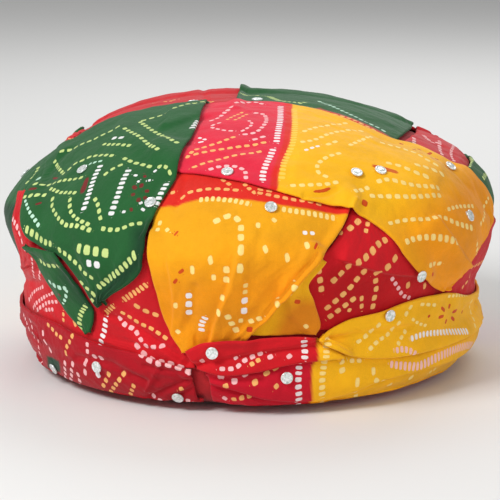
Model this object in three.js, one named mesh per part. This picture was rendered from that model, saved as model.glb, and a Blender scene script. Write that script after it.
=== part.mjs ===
// A tied turban (pagri) of tie-dyed cotton, wound round a hollow crown.
// Millimetres, +Z up, the middle of the rim's underside at the origin, the front towards -Y.
import * as THREE from "three";

const CLOTH = 2.0; // thickness of a folded wrap
const GAP = 0.5; // air between one layer and the next
const CAP_GAP = 0.6; // air between the cap and the lowest layer
const CROWN_MIDDLE = new THREE.Vector3(0, 0, 60); // every wrap is aimed from here
const HEAD_OPENING = { side: 89, front: 97 }; // half sizes of the opening for the head
const HOLLOW_TOP = 117; // the highest point inside

const TIGHTEST_CURVE = 38; // radius that the flat facets of a wrap have to bridge
const WIDEST_REST = 7; // how far round itself a corner of a wrap looks for what lies below
const BRIDGE_ROUNDS = 4;
const RIM_FLOOR = 7; // no wrap starts lower than this on the cap, so none reaches the ground

// The table's columns become the names of each row's values
function table(columns, ...rows) {
  return rows.map((row) => Object.fromEntries(columns.map((column, i) => [column, row[i]])));
}

// Horizontal sections of the wound cap: how far it reaches each way, and how thick its wall is
const CROWN = table(
  ["z", "left", "right", "front", "back", "wall"],
  [0, 96, 96, 103, 103, 6],
  [7, 111, 109, 118, 118, 14],
  [20, 115, 116, 124, 125, 15],
  [34, 114, 115, 124, 126, 14],
  [46, 113, 115, 125, 127, 13],
  [60, 118, 118, 129, 131, 14],
  [78, 124, 121, 133, 135, 15],
  [90, 117, 118, 126, 128, 13],
  [102, 102, 111, 115, 119, 12],
  [114, 85, 88, 95, 101, 11],
  [122, 69, 67, 73, 80, 9],
  [128, 41, 40, 42, 46, 0],
  [130, 0, 0, 0, 0, 0],
);
const CROWN_TOP = CROWN[CROWN.length - 1].z;

// Monotone spline through a column, so that a section never swings past its neighbours
function through(xs, ys) {
  const last = xs.length - 1;
  const rise = xs.slice(1).map((x, i) => (ys[i + 1] - ys[i]) / (x - xs[i]));
  const slope = xs.map((_, i) => {
    if (i === 0 || i === last) return rise[Math.min(i, last - 1)];
    if (rise[i - 1] * rise[i] <= 0) return 0;
    const before = xs[i] - xs[i - 1];
    const after = xs[i + 1] - xs[i];
    const a = 2 * after + before;
    const b = after + 2 * before;
    return (a + b) / (a / rise[i - 1] + b / rise[i]);
  });
  return (x) => {
    const at = Math.min(Math.max(x, xs[0]), xs[last]);
    let i = 0;
    while (i < last - 1 && at > xs[i + 1]) i += 1;
    const step = xs[i + 1] - xs[i];
    const t = (at - xs[i]) / step;
    const u = 1 - t;
    return (1 + 2 * t) * u * u * ys[i] + t * u * u * step * slope[i]
      + t * t * (3 - 2 * t) * ys[i + 1] - t * t * u * step * slope[i + 1];
  };
}

const heights = CROWN.map((row) => row.z);
const squared = {};
for (const side of ["left", "right", "front", "back"]) {
  squared[side] = through(heights, CROWN.map((row) => row[side] ** 2));
}
const wallAt = through(heights, CROWN.map((row) => row.wall));

// Below 1 inside the cap's outer face, above 1 outside it
function depthIn(p) {
  if (p.z > CROWN_TOP) return 2 + p.z;
  const x = squared[p.x < 0 ? "left" : "right"](p.z);
  const y = squared[p.y < 0 ? "front" : "back"](p.z);
  return p.x ** 2 / Math.max(x, 1e-3) + p.y ** 2 / Math.max(y, 1e-3);
}

// The point of the cap that lies in a direction from the crown's middle
function onCap(direction) {
  let near = 0;
  let far = 200;
  const p = new THREE.Vector3();
  for (let i = 0; i < 30; i += 1) {
    const reach = (near + far) / 2;
    p.copy(direction).multiplyScalar(reach).add(CROWN_MIDDLE);
    if (p.z < 0 || depthIn(p) > 1) far = reach;
    else near = reach;
  }
  return p;
}

function lifted(direction, lift) {
  const turn = 0.01;
  const side = new THREE.Vector3().crossVectors(direction, new THREE.Vector3(0.3, 0.5, 0.8)).normalize();
  const other = new THREE.Vector3().crossVectors(direction, side);
  const at = (axis, sign) => onCap(direction.clone().addScaledVector(axis, sign * turn).normalize());
  const along = at(side, 1).sub(at(side, -1));
  const across = at(other, 1).sub(at(other, -1));
  const normal = along.cross(across).normalize();
  return onCap(direction).addScaledVector(normal, lift);
}

// The front view that the wraps are measured in: x to the right and y up from its middle, in mm
const VIEW = { distance: 1300, rise: THREE.MathUtils.degToRad(12), height: 55 };
const CLOTH_OVER_CAP = 4; // how far the seen surface lies over the cap, about
const SIGHT = { before: 160, beyond: 120, step: 0.5 }; // where a line of sight is searched for the crown
const viewMiddle = new THREE.Vector3(0, 0, VIEW.height);
const towardsEye = new THREE.Vector3(0, -Math.cos(VIEW.rise), Math.sin(VIEW.rise));
const viewUp = new THREE.Vector3(0, Math.sin(VIEW.rise), Math.cos(VIEW.rise));
const eye = viewMiddle.clone().addScaledVector(towardsEye, VIEW.distance);

// Direction of the place seen at x, y, or of the outline's nearest place where x, y is off the crown
function seen(x, y) {
  const aim = viewMiddle.clone().addScaledVector(viewUp, y);
  aim.x += x;
  const ray = aim.sub(eye).normalize();
  const p = new THREE.Vector3();
  const toCap = new THREE.Vector3();
  const cover = (reach) => {
    p.copy(eye).addScaledVector(ray, reach);
    toCap.copy(p).sub(CROWN_MIDDLE);
    const away = toCap.length();
    return depthIn(toCap.multiplyScalar(1 - CLOTH_OVER_CAP / away).add(CROWN_MIDDLE));
  };
  let best = VIEW.distance;
  let least = Infinity;
  for (let reach = VIEW.distance - SIGHT.before; reach < VIEW.distance + SIGHT.beyond; reach += SIGHT.step) {
    const depth = cover(reach);
    if (depth < least) {
      least = depth;
      best = reach;
    }
    if (depth < 1) break;
  }
  cover(best);
  return p.clone().sub(CROWN_MIDDLE).normalize();
}

// Direction of a place at the back or sides: bearing in degrees, 0 at the front and 90 at the right
function around(bearing, z) {
  const turn = THREE.MathUtils.degToRad(bearing);
  const x = Math.sqrt(Math.max(squared[Math.sin(turn) < 0 ? "left" : "right"](z), 0));
  const y = Math.sqrt(Math.max(squared[Math.cos(turn) > 0 ? "front" : "back"](z), 0));
  return new THREE.Vector3(x * Math.sin(turn), -y * Math.cos(turn), z).sub(CROWN_MIDDLE).normalize();
}

// How high the layers already lie over the cap, in cells of about a degree of direction
const pile = new Map();
const CELLS_PER_RADIAN = 57;
const MM_PER_CELL = 2.1;
const cellOf = (direction) => direction.toArray().map((part) => Math.round(part * CELLS_PER_RADIAN));

function pileUp(direction, height) {
  const cell = cellOf(direction).join();
  pile.set(cell, Math.max(pile.get(cell) ?? 0, height));
}

function pileNear(direction, width) {
  const [x, y, z] = cellOf(direction);
  const cells = Math.ceil(width / MM_PER_CELL);
  let highest = CAP_GAP - GAP;
  for (let i = -cells; i <= cells; i += 1) {
    for (let j = -cells; j <= cells; j += 1) {
      for (let k = -cells; k <= cells; k += 1) {
        if (i * i + j * j + k * k > cells * cells) continue;
        highest = Math.max(highest, pile.get([x + i, y + j, z + k].join()) ?? 0);
      }
    }
  }
  return highest;
}

function aboveRimFloor(direction) {
  const p = onCap(direction);
  if (p.z >= RIM_FLOOR) return direction;
  const bearing = THREE.MathUtils.radToDeg(Math.atan2(p.x, -p.y));
  return around(bearing, RIM_FLOOR);
}

// Reads a wrap's rows anywhere between its first row, s = 0, and its last, s = 1
function weave(rows) {
  const at = rows.map((_, i) => i);
  const edge = (end) => {
    const spots = rows.map((row) => (
      row[`${end}Bearing`] === undefined
        ? seen(row[`${end}X`], row[`${end}Y`])
        : around(row[`${end}Bearing`], row[`${end}Z`])
    ));
    const curve = new THREE.CatmullRomCurve3(spots, false, "centripetal");
    return (s) => curve.getPoint(s).normalize();
  };
  const [from, to] = [edge("from"), edge("to")];
  const puffs = through(at, rows.map((row) => row.puff));
  const direction = (s, t) => aboveRimFloor(from(s).lerp(to(s), t).normalize());
  const puff = (s, t) => puffs(s * (rows.length - 1)) * (1 - Math.abs(2 * t - 1) ** 2.5);
  return { direction, puff };
}

// Joins a grid of points on the outer face to one on the inner face as a closed wall
function closedSheet(outer, inner) {
  const [rows, columns] = [outer.length, outer[0].length];
  const points = [...outer.flat(), ...inner.flat()];
  const faces = [];
  const top = (i, j) => i * columns + j;
  const below = (i, j) => rows * columns + i * columns + j;
  const quad = (a, b, c, d) => faces.push(a, b, c, a, c, d);
  for (let i = 0; i < rows - 1; i += 1) {
    for (let j = 0; j < columns - 1; j += 1) {
      quad(top(i, j), top(i + 1, j), top(i + 1, j + 1), top(i, j + 1));
      quad(below(i, j), below(i, j + 1), below(i + 1, j + 1), below(i + 1, j));
    }
  }
  for (let i = 0; i < rows - 1; i += 1) {
    quad(top(i, 0), below(i, 0), below(i + 1, 0), top(i + 1, 0));
    quad(top(i + 1, columns - 1), below(i + 1, columns - 1), below(i, columns - 1), top(i, columns - 1));
  }
  for (let j = 0; j < columns - 1; j += 1) {
    quad(top(0, j + 1), below(0, j + 1), below(0, j), top(0, j));
    quad(top(rows - 1, j), below(rows - 1, j), below(rows - 1, j + 1), top(rows - 1, j + 1));
  }
  return solid(points, faces);
}

function solid(points, faces) {
  const geometry = new THREE.BufferGeometry();
  const numbers = points.flatMap((p) => [p.x, p.y, p.z]);
  geometry.setAttribute("position", new THREE.Float32BufferAttribute(numbers, 3));
  let volume = 0;
  for (let i = 0; i < faces.length; i += 3) {
    const [a, b, c] = [points[faces[i]], points[faces[i + 1]], points[faces[i + 2]]];
    volume += a.dot(new THREE.Vector3().crossVectors(b, c));
  }
  if (volume < 0) {
    for (let i = 0; i < faces.length; i += 3) [faces[i + 1], faces[i + 2]] = [faces[i + 2], faces[i + 1]];
  }
  geometry.setIndex(faces);
  geometry.computeVertexNormals();
  return geometry;
}

const cloth = (color) => new THREE.MeshStandardMaterial({ color, roughness: 0.7, metalness: 0 });
const MATERIALS = {
  red: cloth("#d0202e"),
  green: cloth("#2a6a3c"),
  yellow: cloth("#f8ac1e"),
  lining: cloth("#b02030"),
  mirror: new THREE.MeshStandardMaterial({ color: "#e8ecee", roughness: 0.15, metalness: 0.6 }),
};

const turban = new THREE.Group();

function add(name, geometry, material) {
  const mesh = new THREE.Mesh(geometry, MATERIALS[material]);
  mesh.name = name;
  turban.add(mesh);
}

// Places along a wrap that are equally far apart on its longest line
function evenSteps(direction, count) {
  const fine = 20 * count;
  const walked = [0];
  const at = (i, t) => onCap(direction(i / fine, t));
  for (let i = 1; i <= fine; i += 1) {
    const step = Math.max(...[0, 0.5, 1].map((t) => at(i, t).distanceTo(at(i - 1, t))));
    walked.push(walked[i - 1] + step);
  }
  return Array.from({ length: count + 1 }, (_, k) => {
    const goal = (walked[fine] * k) / count;
    const i = Math.min(Math.max(walked.findIndex((d) => d >= goal - 1e-9), 1), fine);
    return (i - 1 + (goal - walked[i - 1]) / (walked[i] - walked[i - 1])) / fine;
  });
}

// Taut cloth bridges the steps below it: each spot rises towards its neighbours, and none sinks
function bridgeHollows(spots) {
  for (let round = 0; round < BRIDGE_ROUNDS; round += 1) {
    const before = spots.map((row) => row.map((spot) => spot.lift));
    spots.forEach((row, i) => row.forEach((spot, j) => {
      const beside = [before[i - 1]?.[j], before[i + 1]?.[j], before[i][j - 1], before[i][j + 1]];
      const known = beside.filter((lift) => lift !== undefined);
      const mean = known.reduce((sum, lift) => sum + lift, 0) / known.length;
      spot.lift = Math.max(spot.least, (before[i][j] + mean) / 2);
    }));
  }
}

// Lays a wrap over whatever lies below it; long and wide count its steps along and across
function addWrap(name, material, rows, { long, wide }) {
  const { direction, puff } = weave(rows);
  const steps = (count) => Array.from({ length: count + 1 }, (_, i) => i);
  const along = evenSteps(direction, long);
  const towards = along.map((s) => steps(wide).map((j) => direction(s, j / wide)));
  const spots = towards.map((row, i) => row.map((here, j) => {
    const beside = [towards[i - 1]?.[j], towards[i + 1]?.[j], row[j - 1], row[j + 1]].filter(Boolean);
    const stride = Math.max(...beside.map((other) => onCap(here).distanceTo(onCap(other))));
    const sag = stride ** 2 / (8 * TIGHTEST_CURVE);
    const least = GAP + sag + pileNear(here, Math.min(stride, WIDEST_REST));
    return { towards: here, least, lift: Math.max(GAP + puff(along[i], j / wide), least) };
  }));
  bridgeHollows(spots);
  const face = (height) => spots.map((row) => row.map((spot) => lifted(spot.towards, spot.lift + height)));
  add(name, closedSheet(face(CLOTH), face(0)), material);
  const perStep = 4;
  for (let i = 0; i < long; i += 1) {
    for (let j = 0; j < wide; j += 1) {
      for (let k = 0; k <= perStep; k += 1) {
        for (let m = 0; m <= perStep; m += 1) {
          const [u, v] = [k / perStep, m / perStep];
          const edgeLift = (row) => spots[row][j].lift * (1 - v) + spots[row][j + 1].lift * v;
          const lift = edgeLift(i) * (1 - u) + edgeLift(i + 1) * u;
          pileUp(direction(along[i] * (1 - u) + along[i + 1] * u, (j + v) / wide), lift + CLOTH);
        }
      }
    }
  }
}

// Crown cap: rings of points up the outside, over the top, and down the hollow
function crownCap() {
  const segments = 40;
  const ring = (z, shrink) => Array.from({ length: segments }, (_, i) => {
    const turn = (2 * Math.PI * i) / segments;
    const [sin, cos] = [Math.sin(turn), Math.cos(turn)];
    const reach = (side) => Math.sqrt(Math.max(squared[side](z), 0)) - shrink;
    return new THREE.Vector3(
      reach(sin < 0 ? "left" : "right") * sin,
      -reach(cos > 0 ? "front" : "back") * cos,
      z,
    );
  });
  const outerHeights = [0, 3, 7, 13, 20, 34, 46, 60, 70, 78, 84, 90, 98, 106, 114, 121, 127];
  const innerHeights = [110, 104, 94, 78, 60, 40, 20, 8];
  const outer = outerHeights.map((z) => ring(z, 0));
  const inner = innerHeights.map((z) => ring(z, wallAt(z)));
  const mouth = Array.from({ length: segments }, (_, i) => {
    const turn = (2 * Math.PI * i) / segments;
    return new THREE.Vector3(HEAD_OPENING.side * Math.sin(turn), -HEAD_OPENING.front * Math.cos(turn), 0);
  });
  const rings = [...outer, ...inner, mouth];
  const apex = new THREE.Vector3(0, 0, CROWN_TOP);
  const roof = new THREE.Vector3(0, 0, HOLLOW_TOP);
  const points = [...rings.flat(), apex, roof];
  const faces = [];
  const index = (r, i) => r * segments + (i % segments);
  const apexIndex = rings.length * segments;
  const roofIndex = apexIndex + 1;
  const band = (r, q) => {
    for (let i = 0; i < segments; i += 1) {
      faces.push(index(r, i), index(r, i + 1), index(q, i + 1), index(r, i), index(q, i + 1), index(q, i));
    }
  };
  const [topRing, roofRing] = [outer.length - 1, outer.length];
  for (let r = 0; r < topRing; r += 1) band(r, r + 1);
  for (let i = 0; i < segments; i += 1) {
    faces.push(index(topRing, i), index(topRing, i + 1), apexIndex);
    faces.push(index(roofRing, i + 1), index(roofRing, i), roofIndex);
  }
  for (let r = roofRing; r < rings.length - 1; r += 1) band(r, r + 1);
  band(rings.length - 1, 0);
  return solid(points, faces);
}

add("crown_cap", crownCap(), "lining");

const IN_FRONT = ["fromX", "fromY", "toX", "toY", "puff"];
const TO_THE_BACK = ["fromX", "fromY", "toBearing", "toZ", "puff"];
const FROM_THE_BACK = ["fromBearing", "fromZ", "toX", "toY", "puff"];
const BEHIND = ["fromBearing", "fromZ", "toBearing", "toZ", "puff"];
const ENDS = { right: 116, left: 244 }; // bearings where the front's wraps give way to the back's

// Round the back, below the ends of the wraps that come from the front
addWrap("back_rim_band", "red", table(
  BEHIND,
  [102, 9, 104, 33, 1.0],
  [128, 9, 128, 34, 2.5],
  [155, 9, 155, 36, 3.0],
  [185, 9, 185, 37, 3.0],
  [215, 9, 215, 36, 3.0],
  [236, 9, 236, 34, 2.5],
  [258, 9, 256, 33, 1.0],
), { long: 20, wide: 3 });

addWrap("back_lower_wrap", "yellow", table(
  BEHIND,
  [ENDS.right, 35, ENDS.right, 56, 1.0],
  [132, 35, 132, 62, 2.5],
  [155, 36, 155, 69, 3.0],
  [185, 37, 185, 75, 3.0],
  [213, 36, 213, 79, 3.0],
  [230, 35, 230, 81, 2.5],
  [ENDS.left, 34, ENDS.left, 82, 1.0],
), { long: 16, wide: 4 });

addWrap("back_upper_wrap", "green", table(
  BEHIND,
  [ENDS.right, 54, ENDS.right, 88, 1.0],
  [132, 60, 132, 94, 2.0],
  [155, 67, 155, 100, 2.5],
  [185, 73, 185, 104, 2.5],
  [213, 77, 213, 106, 2.5],
  [230, 79, 230, 107, 2.0],
  [ENDS.left, 80, ENDS.left, 107, 1.0],
), { long: 16, wide: 4 });

addWrap("back_top_wrap", "red", table(
  BEHIND,
  [ENDS.right, 86, ENDS.right, 117, 0.5],
  [135, 92, 137, 122, 1.5],
  [156, 97, 157, 125, 2.0],
  [185, 101, 185, 126, 2.0],
  [213, 103, 212, 125, 2.0],
  [232, 104, 230, 122, 1.5],
  [ENDS.left, 104, ENDS.left, 118, 0.5],
), { long: 18, wide: 4 });

// Wraps that run round the left side and over the crown
addWrap("left_back_wrap", "green", table(
  TO_THE_BACK,
  [-100, 48, ENDS.left, 106, 0.5],
  [-110, 38, ENDS.left, 100, 1.5],
  [-114, 30, ENDS.left, 90, 1.5],
  [-116, 20, ENDS.left, 79, 1.5],
  [-116, 10, ENDS.left, 67, 1.5],
  [-113, -2, ENDS.left, 54, 1.5],
  [-110, -13, ENDS.left, 41, 0.5],
), { long: 10, wide: 7 });

addWrap("top_left_wrap", "red", table(
  TO_THE_BACK,
  [-98, 42, 250, 108, 0],
  [-90, 46, 244, 111, 0.6],
  [-77, 52, 230, 116, 0.8],
  [-52, 61, 211, 120, 0.8],
  [-28, 69, 196, 121, 1.0],
  [-10, 73, 184, 122, 0.3],
), { long: 12, wide: 9 });

addWrap("top_back_wrap", "green", table(
  TO_THE_BACK,
  [-8, 72, 183, 122, 0],
  [6, 71, 170, 121, 0.5],
  [24, 69, 156, 119, 1.0],
  [42, 65, 141, 117, 1.0],
  [58, 58, 127, 114, 1.0],
  [72, 54, ENDS.right, 111, 0.3],
), { long: 12, wide: 9 });

// Wraps that run round the right side
addWrap("right_back_red", "red", table(
  TO_THE_BACK,
  [73, 49, ENDS.right, 109, 0],
  [87, 43, ENDS.right, 105, 0.8],
  [98, 37, ENDS.right, 100, 0.8],
  [107, 33, ENDS.right, 95, 0],
), { long: 6, wide: 7 });

addWrap("right_back_green", "green", table(
  TO_THE_BACK,
  [110, 36, ENDS.right, 94, 0.3],
  [115, 31, ENDS.right, 86, 1.5],
  [119, 23, ENDS.right, 77, 1.5],
  [121, 14, ENDS.right, 68, 0.3],
), { long: 6, wide: 6 });

addWrap("right_side_red", "red", table(
  TO_THE_BACK,
  [119, 11, ENDS.right, 67, 0.3],
  [116, 2, ENDS.right, 60, 1.5],
  [109, -9, ENDS.right, 52, 1.5],
  [105, -20, ENDS.right, 44, 1.0],
  [104, -28, ENDS.right, 37, 0.3],
), { long: 9, wide: 6 });

// The red cloth that lies low, and the pleat that stands on it
addWrap("recess_panel", "red", table(
  IN_FRONT,
  [56, 25, 72, 22, 0],
  [52, 14, 80, 13, 0],
  [45, 2, 93, 2, 0],
  [32, -10, 103, -9, 0],
  [25, -21, 103, -19, 0],
  [26, -34, 102, -30, 0],
  [34, -42, 100, -38, 0],
), { long: 10, wide: 8 });

addWrap("left_red_drape", "red", [
  ...table(
    IN_FRONT,
    [-121, 28, -94, 28, 0],
    [-123, 18, -81, 18, 0.3],
    [-121, 5, -68, 8, 0.6],
    [-119, -6, -50, 3, 1.0],
  ),
  ...table(
    FROM_THE_BACK,
    [262, 46, -44, -10, 2.5],
    [256, 38, -41, -25, 3.0],
    [258, 32, -36, -39, 1.5],
  ),
  ...table(
    IN_FRONT,
    [-112, -41, -32, -52, 0.8],
    [-100, -50, -30, -63, 0.6],
  ),
], { long: 14, wide: 10 });

addWrap("centre_pleat", "yellow", table(
  IN_FRONT,
  [28, -1, 39, -6, 0],
  [18, -12, 30, -17, 0.3],
  [8, -24, 33, -27, 0.4],
  [1, -36, 36, -40, 0.4],
  [-1, -45, 34, -44, 0.2],
), { long: 8, wide: 4 });

// The gathered rolls of the rim, left and right of the pinch, and the drape that hangs into them
addWrap("rim_left_band", "red", [
  ...table(BEHIND, [260, 32, 262, 8, 1.0]),
  ...table(
    IN_FRONT,
    [-112, -35, -108, -66, 1.5],
    [-101, -40, -98, -74, 2.0],
    [-90, -46, -81, -78, 2.0],
    [-77, -52, -65, -82, 2.0],
    [-60, -56, -48, -86, 2.0],
    [-44, -61, -34, -87, 1.5],
    [-32, -65, -23, -84, 0.5],
  ),
], { long: 20, wide: 5 });

addWrap("rim_right_lower", "yellow", [
  ...table(
    IN_FRONT,
    [-21, -68, -16, -84, 0],
    [-7, -70, -7, -88, 1.5],
    [7, -73, 8, -90, 2.0],
    [26, -74, 26, -90, 2.0],
    [46, -72, 45, -88, 2.0],
    [67, -65, 70, -84, 2.0],
    [85, -60, 91, -78, 1.5],
    [105, -54, 107, -70, 1.0],
  ),
  ...table(BEHIND, [99, 19, 99, 9, 0.5]),
], { long: 15, wide: 3 });

addWrap("rim_right_middle", "yellow", [
  ...table(
    IN_FRONT,
    [-24, -64, -20, -70, 0],
    [-8, -63, -7, -73, 1.5],
    [6, -61, 6, -76, 2.0],
    [23, -56, 26, -77, 2.0],
    [42, -53, 46, -75, 2.0],
    [63, -53, 66, -68, 2.0],
    [85, -51, 85, -63, 1.5],
    [103, -47, 105, -57, 1.0],
  ),
  ...table(BEHIND, [99, 28, 99, 17, 0.5]),
], { long: 18, wide: 4 });

addWrap("centre_drape", "yellow", table(
  IN_FRONT,
  [-52, 52, 53, 33, 0],
  [-52, 44, 53, 24, 0],
  [-48, 33, 50, 15, 1.2],
  [-51, 16, 45, 6, 3.5],
  [-53, 0, 39, -1, 4.5],
  [-51, -10, 27, -11, 4.0],
  [-47, -25, 16, -24, 4.0],
  [-43, -38, 7, -36, 3.0],
  [-38, -48, -2, -47, 1.0],
  [-35, -54, -5, -54, 0],
), { long: 18, wide: 12 });

addWrap("rim_right_upper", "red", table(
  IN_FRONT,
  [-32, -54, -27, -63, 0.5],
  [-22, -49, -13, -66, 2.0],
  [1, -48, 5, -64, 2.5],
  [17, -47, 22, -60, 2.5],
  [33, -47, 37, -58, 1.5],
  [40, -51, 48, -57, 0.5],
), { long: 10, wide: 4 });

addWrap("rim_right_leaf", "yellow", [
  ...table(
    IN_FRONT,
    [36, -47, 38, -49, 0],
    [45, -41, 44, -52, 1.5],
    [53, -37, 54, -56, 2.5],
    [69, -33, 70, -57, 3.0],
    [83, -27, 85, -55, 3.0],
    [102, -23, 103, -50, 2.0],
    [114, -25, 114, -45, 0.8],
  ),
  ...table(BEHIND, [100, 36, 100, 24, 0]),
], { long: 14, wide: 4 });

// The cloth across the middle top, and the green fan and its flap over all the rest
addWrap("upper_drape", "yellow", table(
  IN_FRONT,
  [-39, 72, -49, 47, 0],
  [-26, 75, -41, 41, 0.3],
  [-8, 77, -25, 38, 2.0],
  [7, 77, -7, 35, 2.5],
  [22, 75, 12, 30, 2.8],
  [39, 71, 30, 25, 3.0],
  [57, 64, 51, 20, 4.0],
  [75, 56, 64, 14, 5.0],
  [89, 52, 74, 6, 6.0],
  [103, 45, 81, -2, 6.0],
  [116, 37, 89, -11, 5.5],
  [124, 23, 99, -19, 5.0],
  [120, 9, 105, -18, 3.5],
  [114, -2, 109, -11, 1.0],
), { long: 30, wide: 8 });

addWrap("left_green_drape", "green", table(
  IN_FRONT,
  [-106, 46, -23, 77, 2.0],
  [-111, 35, -30, 62, 3.0],
  [-117, 23, -36, 49, 3.5],
  [-116, 10, -41, 34, 4.0],
  [-106, 2, -51, 17, 4.0],
  [-97, -2, -55, 5, 3.5],
  [-89, -11, -57, -8, 3.0],
  [-78, -27, -76, -24, 0.8],
), { long: 14, wide: 9 });

addWrap("left_green_flap", "green", table(
  IN_FRONT,
  [-115, 4, -100, 0, 2.5],
  [-109, -5, -93, -9, 3.5],
  [-102, -17, -86, -21, 3.5],
  [-95, -29, -81, -30, 2.5],
  [-88, -39, -81, -37, 1.0],
  [-85, -44, -83, -43, 0.3],
), { long: 11, wide: 3 });

// Round mirrors stuck on the cloth
const SEQUIN = { radius: 3, thickness: 0.8, sides: 10, gap: 0.3 };
const SEQUINS = table(
  ["x", "y"],
  [-19, -54], [19, -68], [72, -34], [-52, 22], [-88, 39], [11, 20], [56, 36], [68, 36], [105, 40],
  [4, 80], [-31, 78], [-103, -62], [-120, 39], [112, 16], [87, -11], [-12, 38], [-79, -62], [-38, -77],
);

SEQUINS.forEach((spot, i) => {
  const direction = seen(spot.x, spot.y);
  const geometry = new THREE.CylinderGeometry(SEQUIN.radius, SEQUIN.radius, SEQUIN.thickness, SEQUIN.sides);
  const foot = lifted(direction, pileNear(direction, SEQUIN.radius) + SEQUIN.gap);
  const outward = lifted(direction, 1).sub(lifted(direction, 0)).normalize();
  const mesh = new THREE.Mesh(geometry, MATERIALS.mirror);
  mesh.name = `sequin_${String(i + 1).padStart(2, "0")}`;
  mesh.position.copy(foot).addScaledVector(outward, SEQUIN.thickness / 2);
  mesh.quaternion.setFromUnitVectors(new THREE.Vector3(0, 1, 0), outward);
  turban.add(mesh);
});

export default turban;
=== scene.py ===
# %% [markdown]
# A tied turban, wound ready to wear from one long tie-dyed cotton cloth. The real thing is a ring of wound
# cloth with wraps laid over it in turn, each folded under at its edges, so it is made here the same way:
# one crown, and sheets that are laid on it one after the other, the lowest first.

# %% Load the frame
import math

import bmesh
import bpy
import numpy as np
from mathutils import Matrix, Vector


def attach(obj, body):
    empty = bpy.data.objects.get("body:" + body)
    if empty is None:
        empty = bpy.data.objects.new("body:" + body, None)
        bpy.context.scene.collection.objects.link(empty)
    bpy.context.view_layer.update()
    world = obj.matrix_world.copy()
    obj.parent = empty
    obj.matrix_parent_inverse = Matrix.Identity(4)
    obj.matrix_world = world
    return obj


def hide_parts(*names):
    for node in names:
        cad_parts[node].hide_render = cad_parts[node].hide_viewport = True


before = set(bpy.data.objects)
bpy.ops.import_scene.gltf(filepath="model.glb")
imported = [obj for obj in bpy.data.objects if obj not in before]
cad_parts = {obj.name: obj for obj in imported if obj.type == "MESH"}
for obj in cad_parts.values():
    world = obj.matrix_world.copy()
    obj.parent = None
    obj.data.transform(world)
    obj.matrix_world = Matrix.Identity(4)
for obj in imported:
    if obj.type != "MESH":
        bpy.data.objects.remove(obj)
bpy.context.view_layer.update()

MM = 0.001  # the tables are in millimetres, and Blender's scene is in metres
CLOTH = 2.0  # a folded wrap's thickness
FOLD_RADIUS = 0.85  # of the rolled edge where a wrap turns under
AIR = 0.3  # between one layer and the next
CLOTH_OVER_CAP = 4.0  # how far the seen surface lies over the crown, about
FINE = 1.0  # grid step of the cloth


def table(columns, *rows):
    """A row per section or fold, with the columns named once."""
    names = columns.split()
    return [dict(zip(names, row)) for row in rows]


def by_cloth(columns, **cloths):
    """A table for each cloth, all with the same columns."""
    return {cloth: table(columns, *rows) for cloth, rows in cloths.items()}


# %% [markdown]
# The crown is a stack of sections. Each reaches a different way to the left, right, front and back, and a
# monotone spline joins them, so that no section swings past its neighbours. A wrap is then a patch of
# directions from the crown's middle, and it needs only a height over the crown.

# %% The crown's sections
CROWN = table(
    "z left right front back wall",
    (0, 96, 96, 103, 103, 6),
    (7, 111, 109, 118, 118, 14),
    (20, 115, 116, 124, 125, 15),
    (34, 114, 115, 124, 126, 14),
    (46, 113, 115, 125, 127, 13),
    (60, 118, 118, 129, 131, 14),
    (78, 124, 121, 133, 135, 15),
    (90, 117, 118, 126, 128, 13),
    (102, 102, 111, 115, 119, 12),
    (114, 85, 88, 95, 101, 11),
    (122, 69, 67, 73, 80, 9),
    (128, 41, 40, 42, 46, 0),
    (130, 0, 0, 0, 0, 0),
)
CROWN_TOP = CROWN[-1]["z"]
CROWN_MIDDLE = np.array([0.0, 0.0, 60.0])
HEAD_OPENING = {"side": 89, "front": 97}
RIM_FLOOR = 7.0


def through(xs, ys):
    """Monotone spline through the points, read anywhere between them."""
    xs = np.array(xs, float)
    ys = np.array(ys, float)
    rise = np.diff(ys) / np.diff(xs)
    slope = np.zeros_like(xs)
    slope[0] = rise[0]
    slope[-1] = rise[-1]
    for i in range(1, len(xs) - 1):
        if rise[i - 1] * rise[i] > 0:
            before = xs[i] - xs[i - 1]
            after = xs[i + 1] - xs[i]
            a = 2 * after + before
            b = after + 2 * before
            slope[i] = (a + b) / (a / rise[i - 1] + b / rise[i])

    def read(x):
        x = np.clip(x, xs[0], xs[-1])
        i = np.clip(np.searchsorted(xs, x, side="right") - 1, 0, len(xs) - 2)
        step = xs[i + 1] - xs[i]
        t = (x - xs[i]) / step
        u = 1 - t
        start = (1 + 2 * t) * u * u * ys[i] + t * u * u * step * slope[i]
        return start + t * t * (3 - 2 * t) * ys[i + 1] - t * t * u * step * slope[i + 1]

    return read


heights = [row["z"] for row in CROWN]
squared = {
    side: through(heights, [row[side] ** 2 for row in CROWN])
    for side in ("left", "right", "front", "back")
}
wall_at = through(heights, [row["wall"] for row in CROWN])
print("sections of the crown:", len(CROWN))


def unit(v):
    return v / np.maximum(np.linalg.norm(v, axis=-1, keepdims=True), 1e-9)


def depth_in(p):
    """Below 1 inside the crown's outer face, above 1 outside it."""
    x, y, z = p[..., 0], p[..., 1], p[..., 2]
    side = np.where(x < 0, squared["left"](z), squared["right"](z))
    front = np.where(y < 0, squared["front"](z), squared["back"](z))
    depth = x * x / np.maximum(side, 1e-3) + y * y / np.maximum(front, 1e-3)
    return np.where(z > CROWN_TOP, 2 + z, depth)


def on_crown(directions):
    """The points of the crown's face that lie in these directions from its middle."""
    near = np.zeros(directions.shape[:-1])
    far = np.full(directions.shape[:-1], 200.0)
    for _ in range(24):
        reach = (near + far) / 2
        p = CROWN_MIDDLE + directions * reach[..., None]
        outside = (p[..., 2] < 0) | (depth_in(p) > 1)
        far = np.where(outside, reach, far)
        near = np.where(outside, near, reach)
    return CROWN_MIDDLE + directions * near[..., None]


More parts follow.
